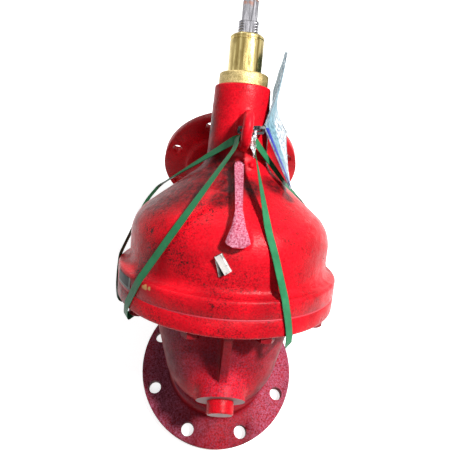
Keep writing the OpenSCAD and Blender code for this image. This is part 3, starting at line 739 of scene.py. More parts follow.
AROUND = 48
RIM_H, HEAD_H, ACROSS_FLATS, SHANK_R = 27, 10.08, 24, 8
CONE = ((10.2, 0), (11.4, 0.05), (12.4, 0.6), (13.2, 1.2), (math.inf, 1.7))
WASHER_R, WASHER_H, GAP = 11.6, 0.8, 0.05
SHANK_TOP = 20
corner_reach = hexagon(AROUND, ACROSS_FLATS)
foot, seat = -RIM_H - HEAD_H, -RIM_H - GAP
rings = [ring([min(r, limit) for r in corner_reach], foot + up) for limit, up in CONE]
rings.append(ring(corner_reach, seat - WASHER_H - GAP))
plain = ((WASHER_R, seat - WASHER_H), (WASHER_R, seat), (SHANK_R, seat), (SHANK_R, SHANK_TOP))
rings += [ring([r] * AROUND, z) for r, z in plain]
one_bolt = stacked(rings)
print("one bolt:", len(one_bolt.polygons), "faces")

# %% Ten of them round the rim
BOLTS, BOLT_CIRCLE = 10, 164 * MM
tree, given = new_growth("bolts on a circle", Count=int, Circle=float, Place=Vector, Lean=Vector,
                         Seed=int)
wheel = {"Vertices": given["Count"], "Radius": given["Circle"]}
circle = add(tree, "GeometryNodeMeshCircle", wheel, fill_type="NONE")
turns = {"Min": (0, 0, 0), "Max": (0, 0, math.tau / 6), "Seed": given["Seed"]}
turn = add(tree, "FunctionNodeRandomValue", turns, data_type="FLOAT_VECTOR")
set_out = {"Points": circle, "Instance": given["Geometry"], "Rotation": turn}
bolts = add(tree, "GeometryNodeInstanceOnPoints", set_out)
end_growth(tree, laid(tree, bolts, given), given["Finish"])
mesh = grown(one_bolt, tree, shaded_bolt_red, Count=BOLTS, Circle=BOLT_CIRCLE, Place=joint_centre,
             Lean=LEANING, Seed=5)
joint_bolts = new_piece("Joint_Bolts", creased(mesh, 32), "valve_body")
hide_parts("joint_bolt_set")
print("joint bolts:", len(mesh.polygons), "faces")

# %% [markdown]
# ## Stem
# The stem is stainless bar. Its lower part carries a trapezoidal thread with a pitch of 4 mm, the top
# of the thread is milled to two flats, and above that is a square for the handwheel. A thread is a
# rule, so a tree cuts it: each point of a fine tube is drawn in by a wave of its height minus its turn
# about the axis, and then pressed in to the flats. The plain parts are stacked rings.

# %% The thread's tree
SIDES, ROWS = 56, 330
RUN_OUT, FLAT_STEP = 1.5 * MM, 0.5 * MM
tree, given = new_growth("threaded bar", Length=float, Radius=float, Pitch=float, Depth=float,
                         Flat=float, Flat_From=float, Rows=int, Place=Vector, Lean=Vector)
length, radius = given["Length"], given["Radius"]
blank = {"Vertices": SIDES, "Side Segments": given["Rows"], "Radius": radius, "Depth": length}
tube = add(tree, "GeometryNodeMeshCylinder", blank)
spot = add(tree, "ShaderNodeSeparateXYZ", {0: add(tree, "GeometryNodeInputPosition")}).outputs
height = add(tree, "ShaderNodeMath", {0: length, 1: 0.5, 2: spot[Z]}, operation="MULTIPLY_ADD")
angle = add(tree, "ShaderNodeMath", {0: spot[Y], 1: spot[X]}, operation="ARCTAN2")
turn = add(tree, "ShaderNodeMath", {0: angle, 1: math.tau}, operation="DIVIDE")
turns_up = add(tree, "ShaderNodeMath", {0: height, 1: given["Pitch"]}, operation="DIVIDE")
phase = add(tree, "ShaderNodeMath", {0: turns_up, 1: turn}, operation="SUBTRACT")
wave = add(tree, "ShaderNodeMath", {0: phase, 1: 0.5}, operation="PINGPONG")
cut = add(tree, "ShaderNodeMapRange", span(wave, 0.13, 0.37))
from_top = add(tree, "ShaderNodeMath", {0: length, 1: height}, operation="SUBTRACT")
from_end = add(tree, "ShaderNodeMath", {0: height, 1: from_top}, operation="MINIMUM")
full = add(tree, "ShaderNodeMapRange", span(from_end, 0.0, RUN_OUT))
cut = add(tree, "ShaderNodeMath", {0: cut, 1: full}, operation="MULTIPLY")
share = add(tree, "ShaderNodeMath", {0: given["Depth"], 1: radius}, operation="DIVIDE")
cut = add(tree, "ShaderNodeMath", {0: cut, 1: share}, operation="MULTIPLY")
drawn = add(tree, "ShaderNodeMath", {0: 1.0, 1: cut}, operation="SUBTRACT")
x, y = (add(tree, "ShaderNodeMath", {0: spot[i], 1: drawn}, operation="MULTIPLY") for i in (X, Y))
below = add(tree, "ShaderNodeMath", {0: given["Flat_From"], 1: FLAT_STEP}, operation="SUBTRACT")
milled = span(height, below, given["Flat_From"], radius, given["Flat"])
wide = add(tree, "ShaderNodeMapRange", milled)
back = add(tree, "ShaderNodeMath", {0: wide, 1: -1.0}, operation="MULTIPLY")
y = add(tree, "ShaderNodeMath", {0: y, 1: wide}, operation="MINIMUM")
y = add(tree, "ShaderNodeMath", {0: y, 1: back}, operation="MAXIMUM")
moved = add(tree, "ShaderNodeCombineXYZ", {X: x, Y: y, Z: height})
cut_bar = add(tree, "GeometryNodeSetPosition", {"Geometry": tube, "Position": moved})
both = add(tree, "GeometryNodeJoinGeometry")
for part in (cut_bar.outputs[0], given["Geometry"]):
    tree.links.new(part, both.inputs[0])
end_growth(tree, laid(tree, both, given), given["Finish"])
print("thread tree:", len(tree.nodes), "nodes")

# %% [markdown]
# ## Stainless steel
# Bar stock is ground before it is threaded, so it shines, with fine rings round it. Its pale and dark
# streaks along the stem are a painted reflection of the room. The square has been handled and
# greased, which leaves a brown stain at its end. Steel is a metal: its colour is in the reflection,
# and the default IOR stays. Grinding marks are drawn 0.8 mm apart.

# %% Streaks and ground steel
def up_the_stem(tree, place):
    """Object coordinates turned upright, so that z runs up the stem."""
    tipped = {"Vector": place, "Rotation": (lean, 0, 0)}
    return add(tree, "ShaderNodeMapping", tipped, vector_type="POINT")


def streaks(tree, upright, squeeze, size_mm):
    """Noise drawn out where squeeze, a number for each direction, is less than 1."""
    drawn = add(tree, "ShaderNodeVectorMath", {0: upright, 1: squeeze}, operation="MULTIPLY")
    return add(tree, "ShaderNodeTexNoise", blobs(drawn, size_mm, 3, 0.6))


def ground_steel(name, stain_from=None):
    """Bright steel with rings round the stem, painted reflections in streaks along it, and a stain
    from so many metres up the stem.
    """
    finish, tree, place = new_finish(name)
    upright = up_the_stem(tree, place)
    rings = streaks(tree, upright, (0.15, 0.15, 1.0), 0.8)
    lengthwise_streaks = streaks(tree, upright, (1.0, 1.0, 0.08), 2.5)
    # Pale streaks along the stem over a dark base: a painted reflection.
    layers = [(lengthwise_streaks, "#B8B6BA")]
    if stain_from:
        height = add(tree, "ShaderNodeSeparateXYZ", {0: upright}).outputs[Z]
        handled = add(tree, "ShaderNodeMapRange", span(height, stain_from, stain_from + 12 * MM))
        grease = patches(tree, place, 9, 0.48, 0.62)
        stain = add(tree, "ShaderNodeMath", {0: handled, 1: grease}, operation="MULTIPLY")
        layers.append((stain, "#A8623A"))
    gloss = add(tree, "ShaderNodeMapRange", span(lengthwise_streaks, 0.3, 0.7, 0.14, 0.34))
    shader = {"Base Color": coats(tree, "#34323A", *layers), "Metallic": 1.0, "Roughness": gloss}
    end_finish(tree, shader, rings, 0.05, 0.4)
    return finish


STEM_R, PITCH, THREAD_DEPTH, THREAD_FROM, THREAD_TO, FLAT_L = 16, 4, 1.9, 300, 410, 25
COLLAR_R, COLLAR_LOW, COLLAR_HIGH = 19.6, 31.1, 42.8
HALF, END_R, STEM_TOP, STAINED_FROM = 11.75, 15.5, 440, 428
stem_steel = ground_steel("ground stainless steel bar", joint_height + STAINED_FROM * MM)
print("stem finish:", stem_steel.name)


# %% The stem's mesh
def squared(half, corner_r, z, points=7):
    """A square ring whose corners are turned to a radius."""
    reach = math.degrees(math.acos(min(half / corner_r, 1)))
    places = []
    for quarter in range(4):
        for i in range(points):
            a = math.radians(quarter * 90 + reach + (90 - 2 * reach) * i / (points - 1))
            places.append((corner_r * math.cos(a), corner_r * math.sin(a), z))
    return places


def joined(name, *meshes):
    """One mesh from several."""
    parts = bmesh.new()
    for mesh in meshes:
        parts.from_mesh(mesh)
    whole = bpy.data.meshes.new(name)
    parts.to_mesh(whole)
    parts.free()
    return whole


square_end = stacked([
    squared(HALF, END_R, THREAD_TO - 1),
    squared(HALF, END_R, STEM_TOP - 1.5),
    squared(HALF - 1.2, END_R - 1.6, STEM_TOP),
])
steps = (
    (COLLAR_R, COLLAR_LOW), (COLLAR_R, COLLAR_HIGH),
    (STEM_R, COLLAR_HIGH), (STEM_R, THREAD_FROM + 0.5),
)
plain_part = stacked([ring([r] * AROUND, z) for r, z in steps])
bar = joined("plain parts of the stem", square_end, plain_part)
bar.transform(Matrix.Translation((0, 0, -THREAD_FROM * MM)))
thread_l = (THREAD_TO - THREAD_FROM) * MM
mesh = grown(bar, tree, stem_steel, Length=thread_l, Radius=STEM_R * MM, Pitch=PITCH * MM,
             Depth=THREAD_DEPTH * MM, Flat=HALF * MM, Flat_From=thread_l - FLAT_L * MM, Rows=ROWS,
             Place=on_bonnet(0, 0, THREAD_FROM), Lean=LEANING)
stem = new_piece("Stem", creased(mesh, 28), "stem_assembly")
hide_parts("stem")
turns = (THREAD_TO - THREAD_FROM) / PITCH
print("stem:", len(mesh.polygons), "faces,", turns, "turns of thread")

# %% [markdown]
# ## Brass in the gland
# Two kinds of brass sit on the neck. The collar is as cast: sandy, dull and khaki. The sleeve is
# turned and polished, so it mirrors the room in long bands up its side, and fingers and a file have
# smeared and scratched it. Those bands are painted into its colour, pale and dark: a painted
# reflection. Both keep their CAD shape. Brass is a metal, so the base colour is its reflection:
# yellow, darkened where it has tarnished. The seat, the disc and the bush inside are turned bronze,
# which is cast like the collar and browner.

# %% Polished brass
def polished_brass(name):
    """Bright brass whose bands, smears and scratches run up the stem. Its pale bands are a
    painted reflection.
    """
    finish, tree, place = new_finish(name)
    upright = up_the_stem(tree, place)
    bands = streaks(tree, upright, (1.0, 1.0, 0.03), 5.0)
    smears = streaks(tree, upright, (1.0, 1.0, 0.35), 9.0)
    lengthwise_streaks = streaks(tree, upright, (1.0, 1.0, 0.12), 1.2)
    # The pale bands: a painted reflection of the room, not wear.
    worn = add(tree, "ShaderNodeMapRange", span(bands, 0.36, 0.66))
    tarnish = add(tree, "ShaderNodeMapRange", span(smears, 0.50, 0.62, 0.0, 0.55))
    gloss = add(tree, "ShaderNodeMapRange", span(smears, 0.35, 0.65, 0.16, 0.36))
    dents = 0.0
    for marks, deep in ((bands, 1.5), (smears, 3.0), (lengthwise_streaks, 0.4)):
        dents = add(tree, "ShaderNodeMath", {0: marks, 1: deep, 2: dents}, operation="MULTIPLY_ADD")
    colour = coats(tree, "#8F7A45", (worn, "#F0DD9A"), (tarnish, "#6E5A2C"))
    end_finish(tree, {"Base Color": colour, "Metallic": 1.0, "Roughness": gloss}, dents, 0.3, 0.6)
    return finish


# %% Cast brass and bronze
def cast_brass(name, light="#D9C48C", dark="#93804E", sand_mm=1.3, depth_mm=0.35, gloss=0.52):
    """Dull brass with the grain of the sand that it was cast in. gloss is its roughness."""
    finish, tree, place = new_finish(name)
    sand = add(tree, "ShaderNodeTexNoise", blobs(place, sand_mm, 3, 0.6))
    cloud = add(tree, "ShaderNodeTexNoise", blobs(place, 11, 3, 0.6))
    lots = add(tree, "ShaderNodeMath", {0: cloud, 1: 0.4}, operation="MULTIPLY")
    both = add(tree, "ShaderNodeMath", {0: sand, 1: 0.6, 2: lots}, operation="MULTIPLY_ADD")
    colour = coats(tree, dark, (add(tree, "ShaderNodeMapRange", span(both, 0.40, 0.60)), light))
    dull = add(tree, "ShaderNodeMapRange", span(cloud, 0.3, 0.7, gloss - 0.08, gloss + 0.1))
    shader = {"Base Color": colour, "Metallic": 0.8, "Roughness": dull}
    end_finish(tree, shader, sand, depth_mm, 0.7)
    return finish


def dressed(finish, *nodes):
    """Gives CAD pieces that keep their shape a finish."""
    for node in nodes:
        piece = frame["nodes"][node]
        piece.data.materials.clear()
        piece.data.materials.append(finish)


bronze = cast_brass("turned bronze", light="#B98F5A", dark="#8A6238", sand_mm=0.8, depth_mm=0.05,
                    gloss=0.34)
dressed(polished_brass("polished brass"), "brass_sleeve")
dressed(cast_brass("sand-cast brass"), "brass_collar")
dressed(bronze, "seat_ring", "valve_disc", "disc_nut", "guide_bush")
print("brass and bronze pieces: 6")

# %% [markdown]
# ## Inside the valve
# The seal is moulded black rubber, which is matt with a faint bloom. The packing is plaited white
# yarn, soaked in wax, and its plait is drawn as a wave round the stem. The plate and nut behind the
# seal are turned stainless steel. The plug was painted with the body, and its end filed.

# %% Rubber, packing, steel and plug
rubber, tree, place = new_finish("moulded black rubber")
colour = coats(tree, "#17181A", (patches(tree, place, 14, 0.4, 0.7), "#2B2C2E"))
skin = add(tree, "ShaderNodeTexNoise", blobs(place, 0.9))
end_finish(tree, {"Base Color": colour, "Roughness": 0.62, "IOR": 1.52}, skin, 0.03)

PLAIT = 2600  # radians to the metre, so that each strand is 1.2 mm wide
yarn, tree, place = new_finish("plaited waxed yarn")
spot = add(tree, "ShaderNodeSeparateXYZ", {0: up_the_stem(tree, place)}).outputs
strand = 1.0
for i in (X, Z):
    phase = add(tree, "ShaderNodeMath", {0: spot[i], 1: PLAIT}, operation="MULTIPLY")
    wave = add(tree, "ShaderNodeMath", {0: phase}, operation="SINE")
    strand = add(tree, "ShaderNodeMath", {0: strand, 1: wave}, operation="MULTIPLY")
# Lighter strand tops and darker dips between them: painted light and shade of the plait.
raised_and_lit = add(tree, "ShaderNodeMapRange", span(strand, -0.6, 0.6))
colour = coats(tree, "#BDB59C", (raised_and_lit, "#EFEAD8"))
end_finish(tree, {"Base Color": colour, "Roughness": 0.7, "IOR": 1.45}, strand, 0.3)

dressed(rubber, "disc_seal")
dressed(yarn, "packing")
dressed(ground_steel("turned stainless steel"), "seal_plate", "seal_nut")
dressed(bonnet_red, "drain_plug")
plug = frame["nodes"]["drain_plug"].data
plug.materials.append(boss_iron)
for face in plug.polygons:
    face.material_index = 1 if abs(face.center.y - plug_low.y) < 10 * HAIR else 0
print("inner pieces and plug are dressed")

# %% [markdown]
# The joint was painted after it was bolted up. Paint bridged the thin gap between the two rims, over
# the gasket's edge, and dried as a bead that catches the light. So the gasket is drawn anew: the same
# flat ring, with a rounded edge that fills the gap. Its bolt holes are out of sight between the rims,
# so they are left out. It is graphite sheet, black inside and red where the paint reached its edge.

# %% Gasket with a painted edge
GASKET_IN, GASKET_OUT, GASKET_HALF, BEAD_R, AROUND_RIM = 124.9, 180, 1, 181.3, 320
above = [(BEAD_R, 0.8), (BEAD_R - 0.5, 1.4), (GASKET_OUT, GASKET_HALF), (GASKET_IN, GASKET_HALF)]
outline = [(r, -z) for r, z in above[::-1]] + [(BEAD_R + 0.1, 0)] + above
ring_mesh = bmesh.new()
rows = [[ring_mesh.verts.new(dial_place(360 * i / AROUND_RIM, r, z)) for r, z in outline]
        for i in range(AROUND_RIM)]
for row, after in zip(rows, rows[1:] + rows[:1]):
    for j in range(len(outline)):
        k = (j + 1) % len(outline)
        ring_mesh.faces.new((row[j], row[k], after[k], after[j]))
bmesh.ops.recalc_face_normals(ring_mesh, faces=ring_mesh.faces)
bead_mesh = bpy.data.meshes.new("gasket")
ring_mesh.to_mesh(bead_mesh)
ring_mesh.free()
graphite, tree, place = new_finish("graphite gasket under paint")
bare = beside(tree, place, joint_centre, 179 * MM, 180 * MM)
colour = coats(tree, "#B42838", (bare, "#26262A"))
skin = add(tree, "ShaderNodeTexNoise", blobs(place, 1.5))
end_finish(tree, {"Base Color": colour, "Roughness": 0.5, "IOR": 1.5}, skin, 0.05)
creased(bead_mesh, 40)
gasket = new_piece("Joint_Gasket", bead_mesh, "valve_body", graphite)
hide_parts("joint_gasket")
print("gasket:", len(bead_mesh.polygons), "faces")

# %% [markdown]
# ## Shipping straps
# Two green plastic straps hold the valve to its pallet. Each goes through the lifting eye, runs over
# the dome and the rim, and is closed behind the bowl. Polyester strap is 12 mm wide and 0.8 mm thick:
# it pulls straight between the edges that it bears on, lies flat on them, and twists where it must.
# So a route is a list of corners, each rounded over less than a centimetre, and a direction in which
# the strap's face looks. The tree sweeps one flat profile along such a route.

# %% A strap tree
STRAP_W, STRAP_T, STRAP_BEND = 12, 0.8, 9
swept_strap, given = new_growth("flat strap along a route", Width=float, Thickness=float)
tree = swept_strap
route = add(tree, "GeometryNodeMeshToCurve", {"Mesh": given["Geometry"]})
facing = add(tree, "GeometryNodeInputNamedAttribute", {"Name": "facing"}, data_type="FLOAT_VECTOR")
looks = {"Curve": route, "Normal": facing}
twisted = add(tree, "GeometryNodeSetCurveNormal", looks, mode="FREE")
edges = {"Width": given["Thickness"], "Height": given["Width"]}
profile = add(tree, "GeometryNodeCurvePrimitiveQuadrilateral", edges)
run = add(tree, "GeometryNodeSplineParameter").outputs["Length"]
position = add(tree, "GeometryNodeInputPosition")
sideways = add(tree, "ShaderNodeSeparateXYZ", {0: position}).outputs[Y]
marked = []
for curve, name, value in ((twisted, "along", run), (profile, "across", sideways)):
    note = {"Geometry": curve, "Name": name, "Value": value}
    stored = add(tree, "GeometryNodeStoreNamedAttribute", note, data_type="FLOAT", domain="POINT")
    marked.append(stored)
swept = add(tree, "GeometryNodeCurveToMesh", {"Curve": marked[0], "Profile Curve": marked[1]})
end_growth(tree, swept, given["Finish"])
print("strap tree:", len(tree.nodes), "nodes")


# %% Corners and roundings
def rounded_route(corners, reach_mm, pieces=6):
    """Rounds each corner of a closed route by a curve that starts this far before it. Each place
    that comes back goes with the number of its corner."""
    places = []
    for i, here in enumerate(corners):
        before, after = corners[i - 1] - here, corners[(i + 1) % len(corners)] - here
        entry = here + before * min(0.45, reach_mm * MM / before.length)
        leave = here + after * min(0.45, reach_mm * MM / after.length)
        for j in range(pieces + 1):
            t = j / pieces
            places.append((i, entry * (1 - t) ** 2 + here * 2 * t * (1 - t) + leave * t * t))
    return places


def square_to(run, look):
    """A direction turned until it is square to the run of a strap."""
    return (look - run * look.dot(run)).normalized()


def closed_chain(name, places, looks):
    """A loop of edges through these places. Each place keeps the way in which the face looks."""
    n = len(places)
    chain = bpy.data.meshes.new(name)
    chain.from_pydata(places, [(i, (i + 1) % n) for i in range(n)], [])
    facing = chain.attributes.new("facing", "FLOAT_VECTOR", "POINT")
    facing.data.foreach_set("vector", [c for look in looks for c in look])
    return chain


def strap_route(name, corners, hints):
    """A strap's loop. Its face looks away from the loop's middle, unless a corner has a hint."""
    spots = [dial_place(*corner) for corner in corners]
    middle = sum(spots, Vector()) / len(spots)
    rounded = rounded_route(spots, STRAP_BEND)
    places, looks = [co for _, co in rounded], []
    for i, (at, co) in enumerate(rounded):
        run = (places[(i + 1) % len(places)] - places[i - 1]).normalized()
        look = bonnet.to_3x3() @ Vector(hints[at]) if at in hints else co - middle
        looks.append(square_to(run, look))
    return closed_chain(name, places, looks)


print("straps bend over", STRAP_BEND, "mm to each side of a corner")

# %% [markdown]
# Polyester strap is pressed between rollers that leave a fine raised lattice, about 2 mm apart, and its
# green is slightly see-through, so its edges look darker than its face. Both are painted into its
# colour: darker edges, and lighter ridges on the lattice as a painted sheen. It is creased where it
# was bent over iron. The lattice follows the strap, so the tree leaves two numbers on the mesh: how
# far along it each point is, and how far across.

# %% Strap finish
LATTICE = math.tau / (2.2 * MM)
strap_green, tree, place = new_finish("embossed green polyester strap")
along = add(tree, "ShaderNodeAttribute", attribute_name="along").outputs["Fac"]
across = add(tree, "ShaderNodeAttribute", attribute_name="across").outputs["Fac"]
ridges = []
for lay in ("ADD", "SUBTRACT"):
    slant = add(tree, "ShaderNodeMath", {0: along, 1: across}, operation=lay)
    phase = add(tree, "ShaderNodeMath", {0: slant, 1: LATTICE}, operation="MULTIPLY")
    ridges.append(add(tree, "ShaderNodeMath", {0: phase}, operation="SINE"))
lattice = add(tree, "ShaderNodeMath", dict(enumerate(ridges)), operation="MAXIMUM")
wear = patches(tree, place, 26, 0.35, 0.7, detail=4, rough=0.6)
from_middle = add(tree, "ShaderNodeMath", {0: across}, operation="ABSOLUTE")
edge = add(tree, "ShaderNodeMapRange", span(from_middle, 4.6 * MM, 6 * MM, 0.0, 0.5))
raised_and_lit = add(tree, "ShaderNodeMapRange", span(lattice, 0.2, 1.0, 0.0, 0.3))
# Darker edges and lighter lattice ridges: painted shade and painted sheen.
green = coats(tree, "#165C37", (wear, "#28744B"), (edge, "#10472B"), (raised_and_lit, "#43845F"))
gloss = add(tree, "ShaderNodeMapRange", span(wear, 0.0, 1.0, 0.28, 0.46))
shader = {"Base Color": green, "Roughness": gloss, "IOR": 1.57, "Specular IOR Level": 0.1}
end_finish(tree, shader, lattice, 0.12)
print("strap finish:", strap_green.name)

# %% [markdown]
# Each route starts at the eye. The corners near the rim are its two edges, and the ten behind the bowl
# are spread evenly round it. Heights over the dome are counted from the joint between the castings. A
# hint turns the strap's face where it goes through the eye.

# %% The routes
RIM_SIDE, RIM_LOW, RIM_TOP, BEHIND = 183.6, -22, 23, 10


def behind(start, end, out, height):
    """Corners spread evenly from one turn to another."""
    step = (end - start) / (BEHIND - 1)
    return [(start + step * i, out, height) for i in range(BEHIND)]


def over_rim(turns, heights):
    """The three corners where a strap bears on the rim."""
    return [(turn, RIM_SIDE, height) for turn, height in zip(turns, heights)]


DOWN, UP = (RIM_TOP, 0, RIM_LOW), (RIM_LOW, 0, RIM_TOP)
left_corners = [
    (-4.6, 75.2, 238), (-6, 83, 219), (-30.5, 160, 106), (-34.3, 165.8, 86), (-44.2, 182.5, 29),
    *over_rim((-45.2, -49.8, -54.5), DOWN), (-56.5, 181, -44.08),
    *behind(-76, -258, 130, -44.08), (-262, 181, -41.08), *over_rim((-262, -261.5, -260.5), UP),
    (-260, 182.5, 29), (-258, 165.2, 82), (-255.5, 163, 94), (-253.5, 156.5, 107),
    (-252.5, 147, 120), (-254, 126, 140), (-263, 92, 162.5), (20, 66, 229), (16, 63, 237),
]
right_corners = [
    (14, 70, 233.5), (15, 78, 219), (15.5, 155, 112), (18, 165.2, 86), (22.2, 182.5, 29),
    *over_rim((22.5, 24.7, 26.4), DOWN), (27.3, 181, -42.08),
    *behind(70, 252, 126, -59.08), (280, 181, -44.08), *over_rim((279, 276.5, 272), UP),
    (270, 182.5, 29), (261, 165.2, 82), (258.5, 163, 94), (256.5, 158, 107),
    (257, 149, 122), (257, 131, 145), (-6, 67, 232),
]
last_left, last_right = len(left_corners) - 1, len(right_corners) - 1
left_hints = {0: (-0.9, -0.45, 0.2), 1: (-0.9, -0.45, 0.2),
              last_left - 1: (0.6, -0.9, 0.3), last_left - 2: (0.7, -0.6, 0.5)}
right_hints = {0: (1, -0.3, 0), 1: (1, -0.3, 0), last_right: (-0.5, -0.85, 0.2)}
both_straps = (("left", left_corners, left_hints), ("right", right_corners, right_hints))
for side, corners, hints in both_straps:
    chain = strap_route(f"route of the {side} strap", corners, hints)
    mesh = grown(chain, swept_strap, strap_green, Width=STRAP_W * MM, Thickness=STRAP_T * MM)
    strap = new_piece(f"Strap_{side.title()}", creased(mesh, 45), "valve_body")
    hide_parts(f"strap_{side}")
    print(strap.name, len(mesh.polygons), "faces")

# %% [markdown]
# ## Strap clip
# A seal joins two ends of a strap: a piece of thin tinned steel, folded over into a flat C and closed
# with pliers. This one was cut open and fell against the dome, so one long side gapes, more at its
# lower end. It is bent from one sheet, so it is drawn as a line of places across the sheet, row by row,
# and gets its thickness afterwards. Tin is a bright soft metal that smears and goes dull in patches.

# %% One bent sheet
def sheet_of(rows, thickness, attributes=None, rounded=True):
    """A sheet from rows of places of equal length, thickened evenly to both sides."""
    mesh = bpy.data.meshes.new("sheet")
    wide = len(rows[0])
    faces = [(i * wide + j, i * wide + j + 1, (i + 1) * wide + j + 1, (i + 1) * wide + j)
             for i in range(len(rows) - 1) for j in range(wide - 1)]
    mesh.from_pydata([co for row in rows for co in row], [], faces)
    for name, values in (attributes or {}).items():
        mesh.attributes.new(name, "FLOAT", "POINT").data.foreach_set("value", values)
    piece = held(mesh)
    modified(piece, "SOLIDIFY", thickness=thickness, offset=0.0, use_even_offset=True)
    if rounded:
        modified(piece, "BEVEL", width=0.2 * thickness, segments=1, limit_method="ANGLE",
                 angle_limit=math.radians(50))
    return creased(taken(piece), 35)


CLIP_L, CLIP_W, CLIP_T, FOLD_R, CLIP_GAP = 27, 12, 0.7, 2.3, 0.5
SPREAD, LIFTED, FLAP_END, LIP_STEP = 8.5, 0.6, 2.7, 1.6
CLIP_ROWS, FLAP_STEPS, BEND_STEPS = 10, 6, 9
clip_lie = (
    bonnet
    @ Matrix.Rotation(math.radians(-5.5), 4, "Z")
    @ Matrix.Translation(Vector((0, -164.4, 70)) * MM)
    @ Matrix.Rotation(math.radians(-34), 4, "Y")
    @ Matrix.Rotation(math.radians(90), 4, "X")
)
fold_middle = CLIP_W / 2 - FOLD_R
rows, inside = [], []
for i in range(CLIP_ROWS):
    up = i / (CLIP_ROWS - 1)
    down = 1 - up
    gape = 0.55 + 1.7 * down
    left = -CLIP_W / 2 + 0.5 - SPREAD * down
    curl = [LIFTED * down * (1 - j / (FLAP_STEPS - 1)) ** 2 for j in range(FLAP_STEPS)]
    bottom = [(left + (FLAP_END - left) * way, CLIP_GAP + lift)
              for way, lift in zip((0, 0.1, 0.3, 0.55, 0.8, 1), curl)]
    turns = [math.pi * k / (BEND_STEPS - 1) for k in range(BEND_STEPS)]
    bend = [(fold_middle - 0.3 + FOLD_R * math.sin(a), CLIP_GAP + FOLD_R - FOLD_R * math.cos(a))
            for a in turns]
    top = [(fold_middle - 0.6 - j * LIP_STEP, CLIP_GAP + 2 * FOLD_R + gape * 0.14 * j)
           for j in range(FLAP_STEPS)]
    dent = 0.25 * math.sin(5 * up)
    section = bottom + bend + top
    rows.append([clip_lie @ (Vector((x, (up - 0.5) * CLIP_L, z + dent)) * MM) for x, z in section])
    # Inside the fold the sheet is marked 1, and there it is painted near black as shadow.
    inside += [0.0, 0.6] + [1.0] * 6 + [0.0] * 13
print("clip:", len(rows), "rows of", len(rows[0]))

# %% Tinned steel
tin, tree, place = new_finish("smeared tinned steel")
smear = add(tree, "ShaderNodeTexNoise", blobs(place, 4, 4, 0.65))
dull = patches(tree, place, 8, 0.50, 0.62, 0.0, 0.8)
shaded = add(tree, "ShaderNodeAttribute", attribute_name="inside").outputs["Fac"]
# Near black inside the fold: painted shadow.
colour = coats(tree, "#B4B0AC", (dull, "#6E6A64"), (shaded, "#15120F"))
gloss = add(tree, "ShaderNodeMapRange", span(smear, 0.35, 0.65, 0.42, 0.62))
end_finish(tree, {"Base Color": colour, "Metallic": 0.9, "Roughness": gloss}, smear, 0.2, 0.6)
bent = sheet_of(rows, CLIP_T * MM, {"inside": inside})
clip = new_piece("Strap_Clip", bent, "valve_body", tin)
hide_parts("strap_clip")
print("clip:", len(bent.polygons), "faces")

# %% [markdown]
# ## Cable tie and its clear tail
# A black nylon cable tie hangs the leaflet on the lifting eye. The tie is a flat band with fine teeth
# across it, pulled through a square head that holds a pawl. It is swept by the same tree as the
# straps. The leaflet's old fastener is still there: a limp tail of clear plastic, creased so often
# that it shows mainly as white highlights, which are painted into its colour as white patches.

# %% Nylon and the band
nylon, tree, place = new_finish("black moulded nylon")
along = add(tree, "ShaderNodeAttribute", attribute_name="along").outputs["Fac"]
phase = add(tree, "ShaderNodeMath", {0: along, 1: math.tau / (1.3 * MM)}, operation="MULTIPLY")
teeth = add(tree, "ShaderNodeMath", {0: phase}, operation="SINE")
colour = coats(tree, "#0C0D0F", (patches(tree, place, 3, 0.4, 0.6, detail=2), "#232529"))
end_finish(tree, {"Base Color": colour, "Roughness": 0.28, "IOR": 1.53}, teeth, 0.25, 0.7)

TIE_W, TIE_T, TIE_BEND = 4, 1.3, 2.5
BACK_FROM, BACK_TO = 0.45, 0.9
tie_corners = [
    (-5, -70, 248), (12, -70, 248), (34, -55, 252), (34.4, -40.3, 256), (34.4, -40.3, 249),
    (33, -50, 244), (12, -64, 240.6), (-5, -64, 240.6),
]
places = [co for _, co in rounded_route([on_bonnet(*corner) for corner in tie_corners], TIE_BEND)]
looks, last = [], len(places) - 1
for i in range(len(places)):
    run = (places[min(i + 1, last)] - places[max(i - 1, 0)]).normalized()
    at_back = BACK_FROM <= i / len(places) <= BACK_TO
    look = bonnet.to_3x3() @ Vector((0.2, 1, 0.1) if at_back else (0, -1, 0.15))
    looks.append(square_to(run, look))
chain = closed_chain("route of the tie", places, looks)
band = grown(chain, swept_strap, nylon, Width=TIE_W * MM, Thickness=TIE_T * MM)
print("tie band:", len(band.polygons), "faces")

# %% Its head
HEAD_SIZE = Vector((8.5, 5.4, 7.6)) * MM
head_lie = (
    bonnet
    @ Matrix.Translation(Vector((21.5, -64.5, 249)) * MM)
    @ Matrix.Rotation(math.radians(32), 4, "Z")
    @ Matrix.Rotation(math.radians(-8), 4, "Y")
    @ Matrix.Diagonal((*HEAD_SIZE, 1))
)
head = bmesh.new()
bmesh.ops.create_cube(head, size=1.0)
bmesh.ops.subdivide_edges(head, edges=head.edges[:], cuts=2, use_grid_fill=True)
front = Vector((0, -0.5, 0))
slot_face = min(head.faces, key=lambda face: (face.calc_center_median() - front).length)
bmesh.ops.inset_individual(head, faces=[slot_face], thickness=0.04)
bmesh.ops.translate(head, verts=slot_face.verts, vec=(0, 0.35, 0))
bmesh.ops.transform(head, matrix=head_lie, verts=head.verts)
head_mesh = bpy.data.meshes.new("tie head")
head.to_mesh(head_mesh)
head.free()
tie_mesh = creased(joined("tie", head_mesh, band), 40)
tie = new_piece("Cable_Tie", tie_mesh, "valve_body", nylon)
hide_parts("zip_tie")
print("cable tie:", len(tie_mesh.polygons), "faces")

# %% Clear tail
from mathutils import noise as folds

clear, tree, place = new_finish("creased clear polythene")
creases = add(tree, "ShaderNodeTexNoise", blobs(place, 3.5, 4, 0.7))
